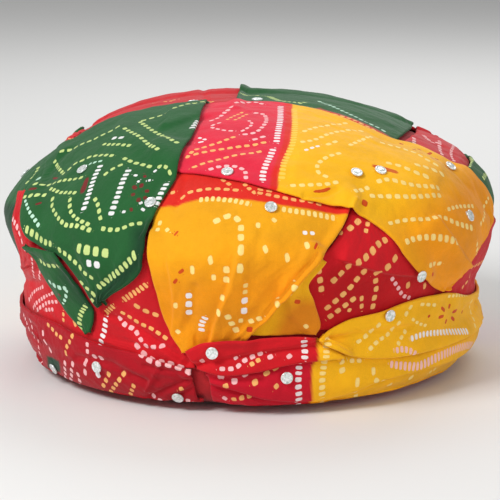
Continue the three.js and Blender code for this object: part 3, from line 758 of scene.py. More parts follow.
# %% Rows of tied dots
INK = {
    "lime": paint(206, 226, 140),
    "mint": paint(198, 240, 214),
    "white": paint(246, 244, 244),
    "pink": paint(252, 198, 198),
    "peach": paint(252, 190, 112),
    "cream": paint(255, 226, 140),
    "maroon": paint(122, 26, 34),
    "rust": paint(206, 52, 22),
    "pale": paint(255, 208, 84),
}
TIE = {
    "dots": {"pitch": 4.0, "thick": 2.1},
    "wide": {"pitch": 4.8, "thick": 2.8},
    "fine": {"pitch": 3.4, "thick": 1.6},
    "ladder": {"pitch": 2.8, "thick": 3.1},
    "bar": {"pitch": None, "thick": 2.9},
    "petal": {"pitch": None, "thick": 1.5},
}
DOT_ROWS = by_cloth(
    "ink tie pixels",
    left_green_drape=(
        ("lime", "dots", ((205, 109), (191, 111), (174, 116), (159, 120), (144, 124), (137, 126))),
        ("lime", "dots", ((137, 126), (147, 133), (159, 140), (171, 149), (179, 153))),
        ("lime", "dots", ((120, 132), (107, 137), (94, 143), (81, 149), (67, 156), (60, 160))),
        ("lime", "dots", ((53, 165), (56, 171), (63, 179))),
        ("lime", "dots", ((122, 134), (131, 139), (142, 146), (153, 156), (160, 161))),
        ("white", "dots", ((110, 144), (124, 144))),
        ("lime", "dots", ((101, 149), (131, 152))),
        ("lime", "dots", ((66, 177), (73, 170), (81, 166), (90, 162), (99, 161), (114, 162))),
        ("mint", "fine", ((80, 178), (85, 171), (94, 169), (103, 167))),
        ("lime", "dots", ((84, 183), (74, 185), (63, 186), (50, 189), (35, 193))),
        ("lime", "dots", ((49, 194), (59, 198), (67, 199), (78, 200))),
        ("lime", "dots", ((27, 205), (37, 202), (47, 200))),
        ("mint", "fine", ((29, 207), (33, 218), (37, 224), (41, 230))),
        ("lime", "dots", ((53, 202), (53, 211), (56, 218), (61, 225), (68, 230), (77, 231), (94, 236))),
        ("lime", "dots", ((71, 204), (72, 215), (75, 221), (81, 226), (92, 231))),
        ("lime", "dots", ((95, 204), (99, 211), (101, 218), (103, 227))),
        ("lime", "dots", ((102, 234), (113, 235), (122, 234), (131, 229), (143, 226))),
        ("white", "ladder", ((101, 171), (96, 181), (92, 192), (89, 203), (85, 217))),
        ("white", "ladder", ((129, 175), (124, 186), (120, 198), (112, 222))),
        ("maroon", "bar", ((89, 180), (81, 205))),
        ("lime", "dots", ((122, 164), (132, 168), (141, 170), (152, 173))),
        ("lime", "fine", ((156, 173), (166, 175), (171, 181))),
        ("lime", "dots", ((103, 183), (111, 177), (124, 170))),
        ("white", "ladder", ((167, 188), (161, 199), (156, 211))),
        ("white", "ladder", ((197, 125), (190, 134))),
        ("white", "petal", ((133, 181), (138, 182))),
        ("white", "petal", ((137, 189), (140, 186))),
        ("white", "petal", ((147, 186), (151, 185))),
        ("white", "petal", ((152, 178), (157, 175))),
        ("white", "petal", ((138, 209), (143, 206))),
        ("white", "petal", ((140, 212), (145, 215))),
        ("white", "petal", ((122, 217), (127, 217))),
        ("maroon", "petal", ((144, 180), (145, 184))),
        ("maroon", "petal", ((131, 212), (132, 217))),
        ("maroon", "petal", ((49, 181), (57, 183))),
        ("maroon", "petal", ((31, 198), (40, 196))),
        ("maroon", "petal", ((37, 212), (44, 206))),
        ("lime", "dots", ((31, 230), (40, 236), (46, 240), (55, 243))),
        ("lime", "wide", ((79, 247), (112, 253))),
        ("lime", "dots", ((60, 246), (70, 252), (82, 261), (88, 266), (99, 273))),
        ("white", "wide", ((90, 258), (105, 261))),
        ("lime", "ladder", ((102, 282), (114, 272), (125, 264), (138, 253))),
        ("lime", "dots", ((83, 274), (91, 282), (99, 289), (96, 296))),
    ),
    left_green_flap=(
        ("lime", "dots", ((43, 254), (54, 259), (66, 260))),
        ("mint", "dots", ((54, 275), (65, 281), (73, 283))),
        ("mint", "dots", ((72, 281), (72, 290), (70, 302))),
        ("maroon", "petal", ((64, 286), (68, 290))),
        ("lime", "ladder", ((91, 300), (88, 312), (86, 319), (84, 332))),
    ),
    left_red_drape=(
        ("pink", "fine", ((8, 207), (14, 218), (20, 228), (27, 248))),
        ("pink", "fine", ((32, 248), (34, 262), (35, 276))),
        ("pink", "fine", ((40, 258), (41, 266), (40, 277))),
        ("pink", "dots", ((45, 283), (38, 291), (30, 303))),
        ("pink", "dots", ((55, 290), (47, 298), (40, 304), (34, 311))),
        ("pink", "dots", ((61, 302), (50, 304), (44, 308), (38, 313))),
        ("pink", "dots", ((46, 312), (56, 311))),
        ("peach", "dots", ((65, 313), (64, 325))),
        ("peach", "dots", ((75, 319), (77, 331))),
        ("peach", "ladder", ((147, 282), (137, 289), (123, 298))),
        ("peach", "ladder", ((115, 303), (105, 314))),
        ("peach", "wide", ((133, 301), (146, 310), (160, 316))),
        ("peach", "dots", ((120, 310), (131, 318), (141, 325), (151, 330), (168, 342))),
        ("pink", "dots", (
            (117, 316), (125, 326), (134, 331), (140, 339), (147, 348), (156, 349), (165, 348),
        )),
        ("white", "ladder", ((107, 318), (105, 330), (103, 337), (99, 352))),
        ("pink", "wide", ((134, 344), (140, 353), (147, 359), (155, 364), (168, 366), (185, 372))),
    ),
    rim_left_band=(
        ("pink", "fine", ((35, 320), (36, 332), (37, 345), (40, 362))),
        ("pink", "fine", ((28, 316), (32, 330), (33, 342))),
        ("pink", "dots", ((47, 331), (48, 344), (53, 356))),
        ("peach", "dots", ((51, 325), (56, 331), (60, 336), (67, 341))),
        ("peach", "dots", ((78, 335), (73, 345), (69, 351), (68, 359))),
        ("pink", "dots", ((66, 361), (65, 371), (65, 381))),
        ("pink", "dots", ((74, 362), (72, 372), (71, 381))),
        ("pink", "dots", ((78, 371), (81, 384))),
        ("pink", "dots", ((91, 343), (90, 357))),
        ("pink", "dots", ((88, 360), (86, 367), (86, 376))),
        ("pink", "dots", ((93, 358), (106, 361))),
        ("white", "bar", ((96, 368), (100, 367))),
        ("white", "bar", ((96, 376), (101, 374))),
        ("peach", "dots", ((111, 372), (103, 386))),
        ("peach", "dots", ((126, 373), (117, 383), (110, 391))),
        ("peach", "dots", ((135, 383), (130, 394))),
        ("pink", "wide", (
            (134, 344), (140, 353), (147, 359), (155, 364), (168, 366), (185, 372), (193, 377),
        )),
        ("pink", "dots", ((150, 394), (163, 400))),
        ("peach", "dots", ((178, 390), (184, 389))),
        ("pink", "dots", ((184, 400), (191, 401))),
    ),
    rim_right_upper=(
        ("pink", "dots", ((200, 364), (206, 361))),
        ("pink", "dots", ((219, 370), (236, 369), (243, 363), (264, 354))),
        ("pink", "fine", ((233, 361), (239, 358))),
        ("peach", "dots", ((249, 367), (261, 360))),
        ("pink", "dots", ((266, 360), (274, 357))),
        ("pink", "dots", ((285, 360), (292, 355))),
        ("white", "ladder", ((303, 339), (304, 352), (303, 361))),
        ("cream", "ladder", ((325, 345), (324, 360))),
    ),
    rim_right_middle=(
        ("pink", "dots", ((216, 379), (226, 379))),
        ("pink", "dots", ((230, 383), (239, 382))),
        ("pink", "dots", ((241, 379), (257, 370))),
        ("peach", "dots", ((262, 378), (280, 368))),
        ("peach", "dots", ((251, 385), (259, 382))),
        ("peach", "dots", ((273, 388), (279, 384))),
        ("peach", "dots", ((222, 387), (230, 385))),
        ("white", "ladder", ((299, 367), (298, 380), (298, 397))),
        ("cream", "ladder", ((324, 361), (322, 377), (321, 393))),
        ("cream", "wide", ((337, 365), (345, 362))),
        ("cream", "wide", ((337, 374), (346, 371))),
        ("cream", "dots", ((348, 363), (362, 363))),
        ("cream", "dots", ((372, 368), (373, 378), (384, 380))),
        ("cream", "dots", ((357, 376), (355, 386))),
        ("pink", "ladder", ((388, 366), (402, 367), (416, 366), (440, 356), (470, 344))),
    ),
    rim_right_lower=(
        ("peach", "dots", ((230, 399), (246, 397), (255, 395), (268, 391))),
        ("pink", "dots", ((221, 397), (228, 400))),
        ("pink", "dots", ((246, 405), (268, 406))),
        ("white", "ladder", ((298, 390), (298, 405))),
        ("cream", "ladder", ((321, 388), (321, 404))),
        ("cream", "dots", ((355, 388), (357, 397))),
        ("cream", "dots", ((386, 386), (394, 382))),
        ("cream", "dots", ((408, 380), (416, 375))),
        ("cream", "dots", ((430, 373), (438, 368))),
    ),
    rim_right_leaf=(
        ("cream", "ladder", ((326, 336), (325, 346))),
        ("cream", "dots", ((379, 322), (366, 335), (354, 345))),
        ("cream", "dots", ((398, 320), (386, 335), (376, 342), (365, 352))),
        ("cream", "dots", ((405, 330), (394, 348))),
        ("cream", "dots", ((411, 302), (401, 317))),
        ("cream", "fine", ((408, 318), (416, 324), (425, 327))),
        ("white", "ladder", ((408, 341), (418, 337), (432, 335), (463, 334))),
        ("pink", "ladder", ((391, 352), (400, 351), (408, 354), (414, 360))),
        ("cream", "dots", ((470, 300), (472, 316), (470, 332))),
        ("cream", "dots", ((418, 303), (434, 305))),
        ("cream", "dots", ((446, 296), (466, 295))),
        ("rust", "petal", ((424, 318), (428, 315))),
        ("rust", "petal", ((462, 316), (464, 311))),
        ("rust", "bar", ((478, 319), (485, 318))),
    ),
    centre_drape=(
        ("peach", "dots", ((178, 202), (187, 196), (203, 193), (219, 192), (240, 193))),
        ("peach", "dots", ((220, 180), (231, 188))),
        ("peach", "dots", ((243, 185), (250, 192), (257, 197))),
        ("peach", "fine", ((256, 191), (274, 194))),
        ("peach", "dots", ((256, 195), (262, 196), (278, 199), (295, 202), (312, 204), (324, 207))),
        ("peach", "dots", ((168, 196), (175, 194))),
        ("cream", "ladder", ((198, 204), (214, 203), (230, 204), (250, 208))),
        ("cream", "ladder", ((281, 212), (299, 215), (316, 217), (337, 220))),
        ("cream", "wide", ((212, 228), (232, 221), (240, 228), (241, 243), (241, 257), (240, 270))),
        ("cream", "dots", ((160, 222), (156, 236))),
        ("cream", "dots", ((165, 231), (169, 236))),
        ("cream", "dots", ((210, 256), (213, 263))),
        ("cream", "dots", ((214, 269), (215, 277))),
        ("cream", "wide", ((227, 262), (227, 279))),
        ("cream", "dots", ((224, 288), (222, 297))),
        ("cream", "dots", ((220, 302), (219, 311))),
        ("white", "wide", ((190, 287), (190, 313))),
        ("cream", "dots", ((177, 297), (177, 305))),
        ("cream", "dots", ((193, 261), (194, 272))),
        ("cream", "dots", ((246, 277), (245, 290))),
        ("white", "wide", ((245, 291), (244, 311))),
        ("cream", "dots", ((241, 313), (241, 322))),
        ("cream", "wide", ((247, 320), (263, 314))),
        ("cream", "wide", ((227, 307), (233, 322), (238, 334))),
        ("cream", "dots", ((258, 226), (258, 234))),
        ("cream", "dots", ((271, 222), (277, 227))),
        ("cream", "dots", ((263, 249), (267, 257))),
        ("cream", "dots", ((285, 254), (288, 262))),
        ("cream", "wide", ((293, 276), (290, 300))),
        ("cream", "dots", ((276, 295), (277, 303))),
        ("cream", "wide", ((277, 312), (281, 328))),
        ("white", "dots", ((301, 237), (316, 237))),
        ("cream", "dots", ((305, 245), (307, 254))),
        ("cream", "dots", ((177, 328), (182, 334))),
        ("cream", "dots", ((258, 330), (265, 334))),
        ("white", "ladder", ((207, 312), (203, 321), (202, 332))),
        ("rust", "bar", ((245, 328), (254, 329))),
        ("rust", "bar", ((313, 249), (316, 251))),
        ("rust", "bar", ((175, 237), (178, 239))),
        ("rust", "bar", ((181, 266), (184, 270))),
        ("rust", "bar", ((175, 275), (179, 278))),
    ),
    centre_pleat=(
        ("rust", "bar", ((298, 296), (296, 302))),
        ("cream", "dots", ((303, 323), (308, 329))),
    ),
    recess_panel=(
        ("peach", "wide", ((343, 215), (342, 227), (341, 238))),
        ("peach", "wide", ((348, 233), (363, 220))),
        ("peach", "dots", ((370, 222), (367, 236))),
        ("peach", "wide", (
            (390, 240), (380, 245), (372, 252), (365, 257), (357, 261), (349, 266), (340, 274), (331, 282),
        )),
        ("peach", "wide", ((399, 253), (391, 262), (384, 267), (374, 275))),
        ("peach", "wide", ((369, 267), (359, 277), (352, 286), (344, 294), (335, 302), (325, 311))),
        ("peach", "wide", ((377, 276), (378, 290), (376, 299), (374, 311))),
        ("pink", "dots", ((393, 276), (401, 289), (405, 295), (413, 298))),
        ("peach", "wide", ((410, 280), (410, 289))),
        ("peach", "dots", ((427, 281), (427, 290))),
        ("peach", "wide", ((319, 265), (321, 279), (323, 293))),
        ("peach", "wide", ((358, 296), (340, 310), (328, 320))),
        ("peach", "dots", ((363, 294), (363, 310))),
        ("peach", "dots", ((352, 307), (349, 313))),
    ),
    upper_drape=(
        ("pink", "dots", ((233, 108), (244, 106), (254, 105), (265, 107))),
        ("pink", "dots", ((207, 123), (217, 119), (225, 114), (232, 110))),
        ("pink", "dots", ((253, 115), (265, 118), (267, 124), (263, 131), (256, 136), (241, 138))),
        ("peach", "dots", ((236, 140), (225, 144), (215, 147), (204, 150), (193, 155), (185, 164))),
        ("pink", "fine", ((248, 124), (252, 128), (247, 132), (240, 135))),
        ("pink", "fine", ((221, 125), (210, 129), (222, 133), (234, 134))),
        ("peach", "fine", ((225, 123), (234, 118), (243, 114))),
        ("peach", "fine", ((233, 124), (248, 116))),
        ("white", "fine", ((196, 139), (206, 143))),
        ("white", "fine", ((195, 145), (204, 144))),
        ("pink", "dots", ((251, 144), (267, 140))),
        ("peach", "dots", ((191, 160), (209, 155), (231, 151), (254, 148), (268, 146))),
        ("peach", "dots", ((190, 173), (204, 168), (226, 161), (249, 158), (263, 155))),
        ("pink", "dots", ((207, 176), (220, 172), (231, 171), (240, 173), (245, 177), (246, 186))),
        ("white", "ladder", ((282, 109), (281, 125), (279, 135), (277, 147))),
        ("white", "ladder", ((274, 153), (270, 162), (266, 171), (263, 180), (263, 187))),
        ("pale", "ladder", ((296, 112), (296, 131), (293, 150), (288, 160), (284, 170), (282, 185))),
        ("cream", "dots", ((303, 139), (316, 134), (336, 130), (350, 128))),
        ("cream", "dots", ((300, 150), (315, 147), (335, 140), (353, 137), (366, 137))),
        ("white", "fine", ((304, 158), (321, 153))),
        ("cream", "dots", ((326, 153), (339, 149))),
        ("cream", "dots", ((342, 161), (325, 166), (318, 172), (319, 178), (330, 184))),
        ("cream", "dots", ((349, 155), (362, 149), (374, 144))),
        ("cream", "dots", ((379, 151), (399, 157), (415, 164), (422, 169), (437, 178))),
        ("rust", "bar", ((365, 174), (403, 185))),
        ("cream", "dots", ((384, 173), (397, 177), (413, 184), (425, 188))),
        ("cream", "dots", ((375, 190), (386, 189), (409, 194), (435, 196))),
        ("cream", "dots", ((352, 199), (370, 193))),
        ("cream", "dots", ((368, 201), (385, 202), (409, 204), (436, 202))),
        ("cream", "dots", ((411, 177), (425, 180), (441, 184))),
        ("rust", "petal", ((412, 158), (418, 159))),
        ("rust", "petal", ((418, 156), (424, 158))),
        ("rust", "petal", ((418, 163), (424, 164))),
        ("rust", "petal", ((428, 162), (434, 160))),
        ("rust", "petal", ((429, 167), (435, 169))),
        ("rust", "petal", ((435, 166), (441, 167))),
        ("rust", "petal", ((400, 149), (406, 151))),
        ("cream", "dots", ((387, 227), (401, 224), (425, 224), (435, 222), (451, 227), (466, 229))),
        ("cream", "dots", ((440, 215), (452, 211), (468, 210))),
        ("white", "dots", ((459, 217), (468, 220))),
        ("cream", "fine", ((482, 200), (480, 213), (474, 226))),
        ("cream", "dots", ((402, 244), (416, 240), (436, 239), (450, 240))),
        ("cream", "dots", ((423, 261), (439, 260))),
        ("rust", "bar", ((426, 271), (429, 268))),
        ("cream", "dots", ((470, 238), (471, 252))),
        ("cream", "dots", ((289, 191), (305, 191), (326, 190), (340, 188))),
        ("rust", "petal", ((309, 197), (322, 196), (335, 192))),
        ("rust", "bar", ((365, 204), (363, 212))),
    ),
    top_left_wrap=(
        ("peach", "dots", ((48, 161), (58, 150), (70, 140), (83, 133), (96, 127), (110, 120))),
        ("peach", "dots", ((122, 116), (139, 112), (161, 107), (185, 103))),
        ("peach", "fine", ((149, 103), (166, 101), (177, 98))),
        ("peach", "dots", ((197, 100), (207, 99), (211, 101))),
    ),
    left_back_wrap=(
        ("lime", "dots", ((22, 188), (29, 180), (36, 170))),
        ("mint", "dots", ((31, 184), (40, 176), (46, 171))),
    ),
    top_back_wrap=(
        ("lime", "ladder", ((240, 94), (254, 93), (270, 95), (282, 99), (298, 101), (309, 101))),
        ("mint", "dots", ((321, 100), (332, 104), (347, 110), (362, 117), (377, 125), (391, 132))),
        ("peach", "dots", ((311, 110), (332, 112), (349, 117), (365, 124), (379, 131), (391, 139))),
    ),
    right_back_red=(
        ("pink", "dots", ((419, 137), (418, 149))),
        ("pink", "dots", ((428, 134), (437, 142), (444, 144))),
        ("pink", "dots", ((444, 142), (446, 154), (450, 166))),
        ("pink", "fine", ((460, 142), (456, 154), (459, 163))),
    ),
    right_back_green=(
        ("lime", "dots", ((464, 160), (469, 153), (473, 158), (469, 170))),
        ("lime", "dots", ((480, 182), (484, 172), (487, 184))),
        ("mint", "dots", ((488, 196), (494, 216))),
    ),
    right_side_red=(
        ("peach", "dots", ((494, 221), (490, 232), (485, 246))),
        ("peach", "dots", ((472, 270), (468, 281), (463, 290))),
        ("pink", "dots", ((484, 268), (483, 290))),
        ("peach", "dots", ((472, 267), (482, 257))),
    ),
)
FLOWERS = by_cloth(
    "ink pixel petals hollow reach thick",
    left_green_drape=(("maroon", (140, 198), 6, 2.0, 5.4, 2.0),),
    rim_right_leaf=(("rust", (446, 315), 6, 2.2, 6.4, 1.9),),
)


PATTERN = {"margin": 3.5, "step": 3.0, "shortest": 14.0, "longest": 46.0, "insets": (4.0, 9.5)}
BACK_TIE = {"border": (4.2, 1.7), "figure": (4.0, 1.6)}  # pitch and thickness
BACK_INKS = {
    "back_rim_band": ("peach", "pink"),
    "back_lower_wrap": ("cream", "rust"),
    "back_upper_wrap": ("lime", "mint"),
    "back_top_wrap": ("peach", "pink"),
}


def crown_line(line):
    """A line of the view as points on the crown."""
    return on_crown(seen(line[:, 0], line[:, 1]))


def flower_petals(flower):
    middle = from_photo(flower["pixel"])
    for k in range(flower["petals"]):
        turn = 2 * math.pi * (k + 0.3) / flower["petals"]
        way = np.array([math.cos(turn), math.sin(turn)])
        yield middle + way * np.array([[flower["hollow"]], [flower["reach"]]])


def rows_of(name):
    """Every row of this cloth: its line on the crown, the dots' pitch and thickness, and the ink."""
    for row in DOT_ROWS.get(name, ()):
        line = crown_line(along_path(row["pixels"], 10))
        tie = TIE[row["tie"]]
        length = np.linalg.norm(np.diff(line, axis=0), axis=1).sum()
        pitch = tie["pitch"] or length
        count = max(round(length / pitch), 1)
        yield line, length / count, tie["thick"], INK[row["ink"]]
    for flower in FLOWERS.get(name, ()):
        for petal in flower_petals(flower):
            line = crown_line(petal)
            length = np.linalg.norm(line[-1] - line[0])
            yield line, length, flower["thick"], INK[flower["ink"]]
    yield from woven_rows(name)


def woven_rows(name):
    """Rows for the turns at the back: a border at each edge, with ovals and diamonds between in turn."""
    info = laid[name]
    directions = info["directions"]
    inks = BACK_INKS.get(name)
    if inks is None:
        return
    rows, columns = directions.shape[:2]

    def line(places):
        out = []
        for along, across in places:
            i = min(max(along / info["length"], 0), 0.999) * (rows - 1)
            j = min(max(across / info["width"], 0), 0.999) * (columns - 1)
            a, b = int(i), int(j)
            u, v = i - a, j - b
            near = directions[a, b] * (1 - v) + directions[a, b + 1] * v
            far = directions[a + 1, b] * (1 - v) + directions[a + 1, b + 1] * v
            out.append(near * (1 - u) + far * u)
        return on_crown(unit(np.array(out)))

    length, width = info["length"], info["width"]
    margin = PATTERN["margin"]
    along = np.arange(margin, length - margin, PATTERN["step"])
    for across in (margin, width - margin):
        yield line([(a, across) for a in along]), *BACK_TIE["border"], INK[inks[0]]
    inner = width - 2 * margin
    period = max(min(inner * 1.5, PATTERN["longest"]), PATTERN["shortest"])
    for start in np.arange(margin + 2, length - margin - period, period):
        peak = start + period / 2
        for inset, ink in zip(PATTERN["insets"], reversed(inks)):
            if inner < 2 * inset + 3:
                continue
            half = period / 2 - inset
            if int(start / period) % 2:
                turns = np.linspace(0, 2 * math.pi, 25)
                tall = inner / 2 - inset + 2
                places = [(peak + half * math.sin(a), width / 2 + tall * math.cos(a)) for a in turns]
                yield line(places), *BACK_TIE["figure"], INK[ink]
                continue
            tall = inner / 2 - 2
            for sign in (-1, 1):
                slope = np.linspace(-1, 1, 13)
                places = [(peak + sign * half * (1 - abs(u)), width / 2 + u * tall) for u in slope]
                yield line(places), *BACK_TIE["figure"], INK[ink]


NEAR_ROW = 1.2  # how far beyond a dot's edge a face is still looked at
PAST_END = 1.5  # a place beyond a row's end counts as this much further off
FACE_REACH = 0.75  # share of a face's size by which it may reach into the row from the side
END_REACH = 0.35  # and from beyond its end
NO_DOT = 9.0  # stored across, where no row runs


def print_rows(thing, name):
    """Stores, on each face near a row of dots, where the row runs and what its ink is."""
    info = laid[name]
    mesh = thing.data
    flat = info["flat"]
    corners = np.empty(len(mesh.polygons) * 4, int)
    mesh.loops.foreach_get("vertex_index", corners)
    corners = corners.reshape(-1, 4)
    centres = flat[corners].mean(axis=1)
    normals = info["normal"][corners[:, 0]]
    spread = np.linalg.norm(flat[corners[:, 0]] - flat[corners[:, 2]], axis=1)
    nearest = np.full(len(centres), np.inf)
    u = np.zeros((len(centres), 4))
    v = np.full((len(centres), 4), NO_DOT)
    ink = np.zeros((len(centres), 4))
    for line, pitch, thick, colour in rows_of(name):
        reach = thick / 2 + NEAR_ROW
        low = line.min(axis=0) - reach
        high = line.max(axis=0) + reach
        close = np.flatnonzero(np.all((centres > low) & (centres < high), axis=1))
        walked = 0.0
        for a, b in zip(line[:-1], line[1:]):
            step = b - a
            size = np.linalg.norm(step)
            if size < 1e-6:
                continue
            way = step / size
            rel = centres[close] - a
            along = rel @ way
            beyond = np.maximum(np.maximum(-along, along - size), 0)
            level = rel - np.sum(rel * normals[close], axis=1, keepdims=True) * normals[close]
            across = np.linalg.norm(level - (level @ way)[:, None] * way, axis=1)
            distance = across + beyond * PAST_END
            allowed = thick / 2 + FACE_REACH * spread[close]
            slack = END_REACH * spread[close]
            better = (distance < nearest[close]) & (across < allowed) & (beyond < slack)
            chosen = close[better]
            nearest[chosen] = distance[better]
            rel4 = flat[corners[chosen]] - a
            along4 = rel4 @ way
            square = np.cross(normals[chosen], way)
            across4 = np.einsum("fkc,fc->fk", rel4, square)
            u[chosen] = (walked + along4) / pitch
            v[chosen] = across4 / (thick / 2)
            ink[chosen] = np.append(colour, 1.0)
            walked += size
    layer = mesh.uv_layers.new(name="dots")
    layer.data.foreach_set("uv", np.stack([u, v], axis=-1).ravel())
    colours = mesh.attributes.new("ink", "FLOAT_COLOR", "CORNER")
    colours.data.foreach_set("color", np.repeat(ink, 4, axis=0).ravel())
    return int(np.isfinite(nearest).sum())


# %% [markdown]
# The cotton is thin and soft: no shine to speak of, a faint sheen at glancing angles, and a dye that took a
# little unevenly. One material serves every wrap, because dye, painted light and shade, and dots come from
# each wrap's attributes.

# %% The cotton
def node(tree, kind, **settings):
    made = tree.nodes.new(kind)
    for key, value in settings.items():
        setattr(made, key, value)
    return made


def maths(tree, operation, a, b=None):
    made = node(tree, "ShaderNodeMath", operation=operation)
    for socket, value in zip(made.inputs, (a, b)):
        if value is None:
            continue
        if isinstance(value, (int, float)):
            socket.default_value = value
        else:
            tree.links.new(value, socket)
    return made.outputs[0]


def mix_colour(tree, share, a, b, blend="MIX"):
    made = node(tree, "ShaderNodeMix", data_type="RGBA", blend_type=blend)
    for socket, value in ((made.inputs[0], share), (made.inputs[6], a), (made.inputs[7], b)):
        if isinstance(value, (int, float, tuple)):
            socket.default_value = value
        else:
            tree.links.new(value, socket)
    return made.outputs[2]


def noise(tree, place, scale, detail, rough=0.55):
    made = node(tree, "ShaderNodeTexNoise")
    made.inputs["Scale"].default_value = scale
    made.inputs["Detail"].default_value = detail
    made.inputs["Roughness"].default_value = rough
    tree.links.new(place, made.inputs["Vector"])
    return made.outputs["Fac"]


def ramp(tree, value, low, high, to_low=0.0, to_high=1.0):
    made = node(tree, "ShaderNodeMapRange", clamp=True)
    made.inputs["From Min"].default_value = low
    made.inputs["From Max"].default_value = high
    made.inputs["To Min"].default_value = to_low
    made.inputs["To Max"].default_value = to_high
    tree.links.new(value, made.inputs["Value"])
    return made.outputs["Result"]


def new_material(name, **looks):
    """A material, its nodes and its shader, with values for the shader's sockets."""
    material = bpy.data.materials.new(name)
    material.use_nodes = True
    shader = material.node_tree.nodes["Principled BSDF"]
    for socket, value in looks.items():
        shader.inputs[socket.replace("_", " ")].default_value = value
    return material, material.node_tree, shader


def bump(tree, height, strength, distance, under=None):
    made = node(tree, "ShaderNodeBump")
    made.inputs["Strength"].default_value = strength
    made.inputs["Distance"].default_value = distance * MM
    tree.links.new(height, made.inputs["Height"])
    if under is not None:
        tree.links.new(under, made.inputs["Normal"])
    return made.outputs["Normal"]


DOT = {"half_long": 0.33, "long_power": 3.2, "across_power": 3.0, "ragged": 1.1, "edge": (0.75, 1.25)}
PATCHY = (42.0, 4.0, 0.6)  # scale, detail and roughness of a noise
THREADS = (2600.0, 2.0, 0.7)
CRINKLES = (230.0, 4.0, 0.6)
RAGGED = (900.0, 2.0)


def cotton():
    material, tree, shader = new_material(
        "tie_dyed_cotton_with_painted_shade",
        Roughness=0.82, Specular_IOR_Level=0.25, Sheen_Weight=0.12, Sheen_Roughness=0.45,
    )
    place = node(tree, "ShaderNodeTexCoord").outputs["Object"]
    # this attribute holds the dyes together with the painted highlight, shade and shadow
    dye = node(tree, "ShaderNodeAttribute", attribute_name="dye").outputs["Color"]
    ink = node(tree, "ShaderNodeAttribute", attribute_name="ink")
    dots = node(tree, "ShaderNodeUVMap", uv_map="dots").outputs["UV"]
    split = node(tree, "ShaderNodeSeparateXYZ")
    tree.links.new(dots, split.inputs[0])
    wander = noise(tree, place, *RAGGED)
    patches = noise(tree, place, *PATCHY)
    threads = noise(tree, place, *THREADS)
    from_middle = maths(tree, "SUBTRACT", maths(tree, "FRACT", split.outputs["X"]), 0.5)
    along = maths(tree, "DIVIDE", maths(tree, "ABSOLUTE", from_middle), DOT["half_long"])
    across = maths(tree, "ABSOLUTE", split.outputs["Y"])
    along = maths(tree, "POWER", along, DOT["long_power"])
    across = maths(tree, "POWER", across, DOT["across_power"])
    ragged = maths(tree, "MULTIPLY", maths(tree, "SUBTRACT", wander, 0.5), DOT["ragged"])
    round_dot = maths(tree, "ADD", maths(tree, "ADD", along, across), ragged)
    dot = maths(tree, "MULTIPLY", ramp(tree, round_dot, *DOT["edge"], 1.0, 0.0), ink.outputs["Alpha"])
    uneven = mix_colour(tree, 1.0, dye, ramp(tree, patches, 0.25, 0.75, 0.86, 1.12), "MULTIPLY")
    worn = mix_colour(tree, 1.0, uneven, ramp(tree, threads, 0.2, 0.8, 0.9, 1.08), "MULTIPLY")
    faded = maths(tree, "MULTIPLY", dot, ramp(tree, patches, 0.3, 0.7, 0.97, 0.78))
    colour = mix_colour(tree, faded, worn, ink.outputs["Color"])
    tree.links.new(colour, shader.inputs["Base Color"])
    tied = bump(tree, dot, 0.35, 0.6)
    crinkled = bump(tree, noise(tree, place, *CRINKLES), 0.5, 0.8, tied)
    woven = bump(tree, threads, 0.35, 0.15, crinkled)
    tree.links.new(woven, shader.inputs["Normal"])
    return material


COTTON = cotton()


HEM = 12  # about what the two edges of a wrap take to turn under
# the declared area is the finished cloth's over this, so a test of it proves nothing
AREA_SHARE = 1.06  # the printed area is the finished cloth's over this, so it is not the cloth's own area
LEAST_FILLED = 0.31  # of its rectangle: no less is printed, and two wraps fill less
sheets = []


def wrap(name, dye, rows):
    """Lays a wrap and gives it its dye and painted shade, dots, cotton and place in the frame."""
    thing = lay(name, rows)
    dye_and_shade_cloth(thing, name, dye)
    dotted = print_rows(thing, name)
    thing.data.materials.append(COTTON)
    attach(thing, "root")
    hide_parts(name)
    info = laid[name]
    area = sum(polygon.area for polygon in thing.data.polygons)
    wide = (info["width"] + HEM) * MM
    long = (info["length"] + HEM) * MM
    cut = min(max(area / AREA_SHARE, LEAST_FILLED * wide * long), wide * long)
    sheets.append((thing.name, round(wide / MM), round(long / MM), round(cut * 1e4)))
    print(thing.name, "faces", len(thing.data.polygons), "dotted", dotted)


# %% [markdown]
# The crown itself is the wound core: cloth turned round and round, open below for the head. It shows only
# from below and inside, where the turns lie as soft ridges. A profile is swept round as a grid of points.

# %% The wound crown
TURN_RIDGE = 0.7  # height of one turn of cloth inside the hollow
TURN_PITCH = 9.0
CAP_SEGMENTS = 144
CAP_INSET = 0.3  # how far the crown's face is drawn in from its sections
OUTSIDE_HEIGHTS = (
    0, 1.5, 3, 5, 7, 10, 14, 20, 27, 34, 40, 46, 53, 60, 66, 72, 78, 84, 90,
    96, 102, 108, 114, 118, 122, 125, 127.5, 129, 129.8,
)
ROOF = table("wide long z", (20, 22, 116.6), (60, 66, 115.8), (110, 120, 114.4))
HOLLOW_HEIGHTS = np.arange(112, 8, -1.5)
CAP_TURN = np.linspace(0, 2 * math.pi, CAP_SEGMENTS, endpoint=False)


def ring(z, shrink, ridge=0.0):
    """The crown's section at a height, drawn in, with the lean of its turns if they show."""
    sin, cos = np.sin(CAP_TURN), np.cos(CAP_TURN)
    reach = {side: math.sqrt(max(float(read(z)), 0)) for side, read in squared.items()}
    x = np.where(sin < 0, reach["left"], reach["right"])
    y = np.where(cos > 0, reach["front"], reach["back"])
    lean = 2.2 * np.sin(CAP_TURN + 0.6) + 0.8 * np.sin(3 * CAP_TURN)
    soft = ridge * (np.abs(np.sin(math.pi * (z + lean) / TURN_PITCH)) - 0.6)
    x = np.maximum(x - shrink - soft, 0.0)
    y = np.maximum(y - shrink - soft, 0.0)
    return np.column_stack([x * sin, -y * cos, np.full(CAP_SEGMENTS, z)])


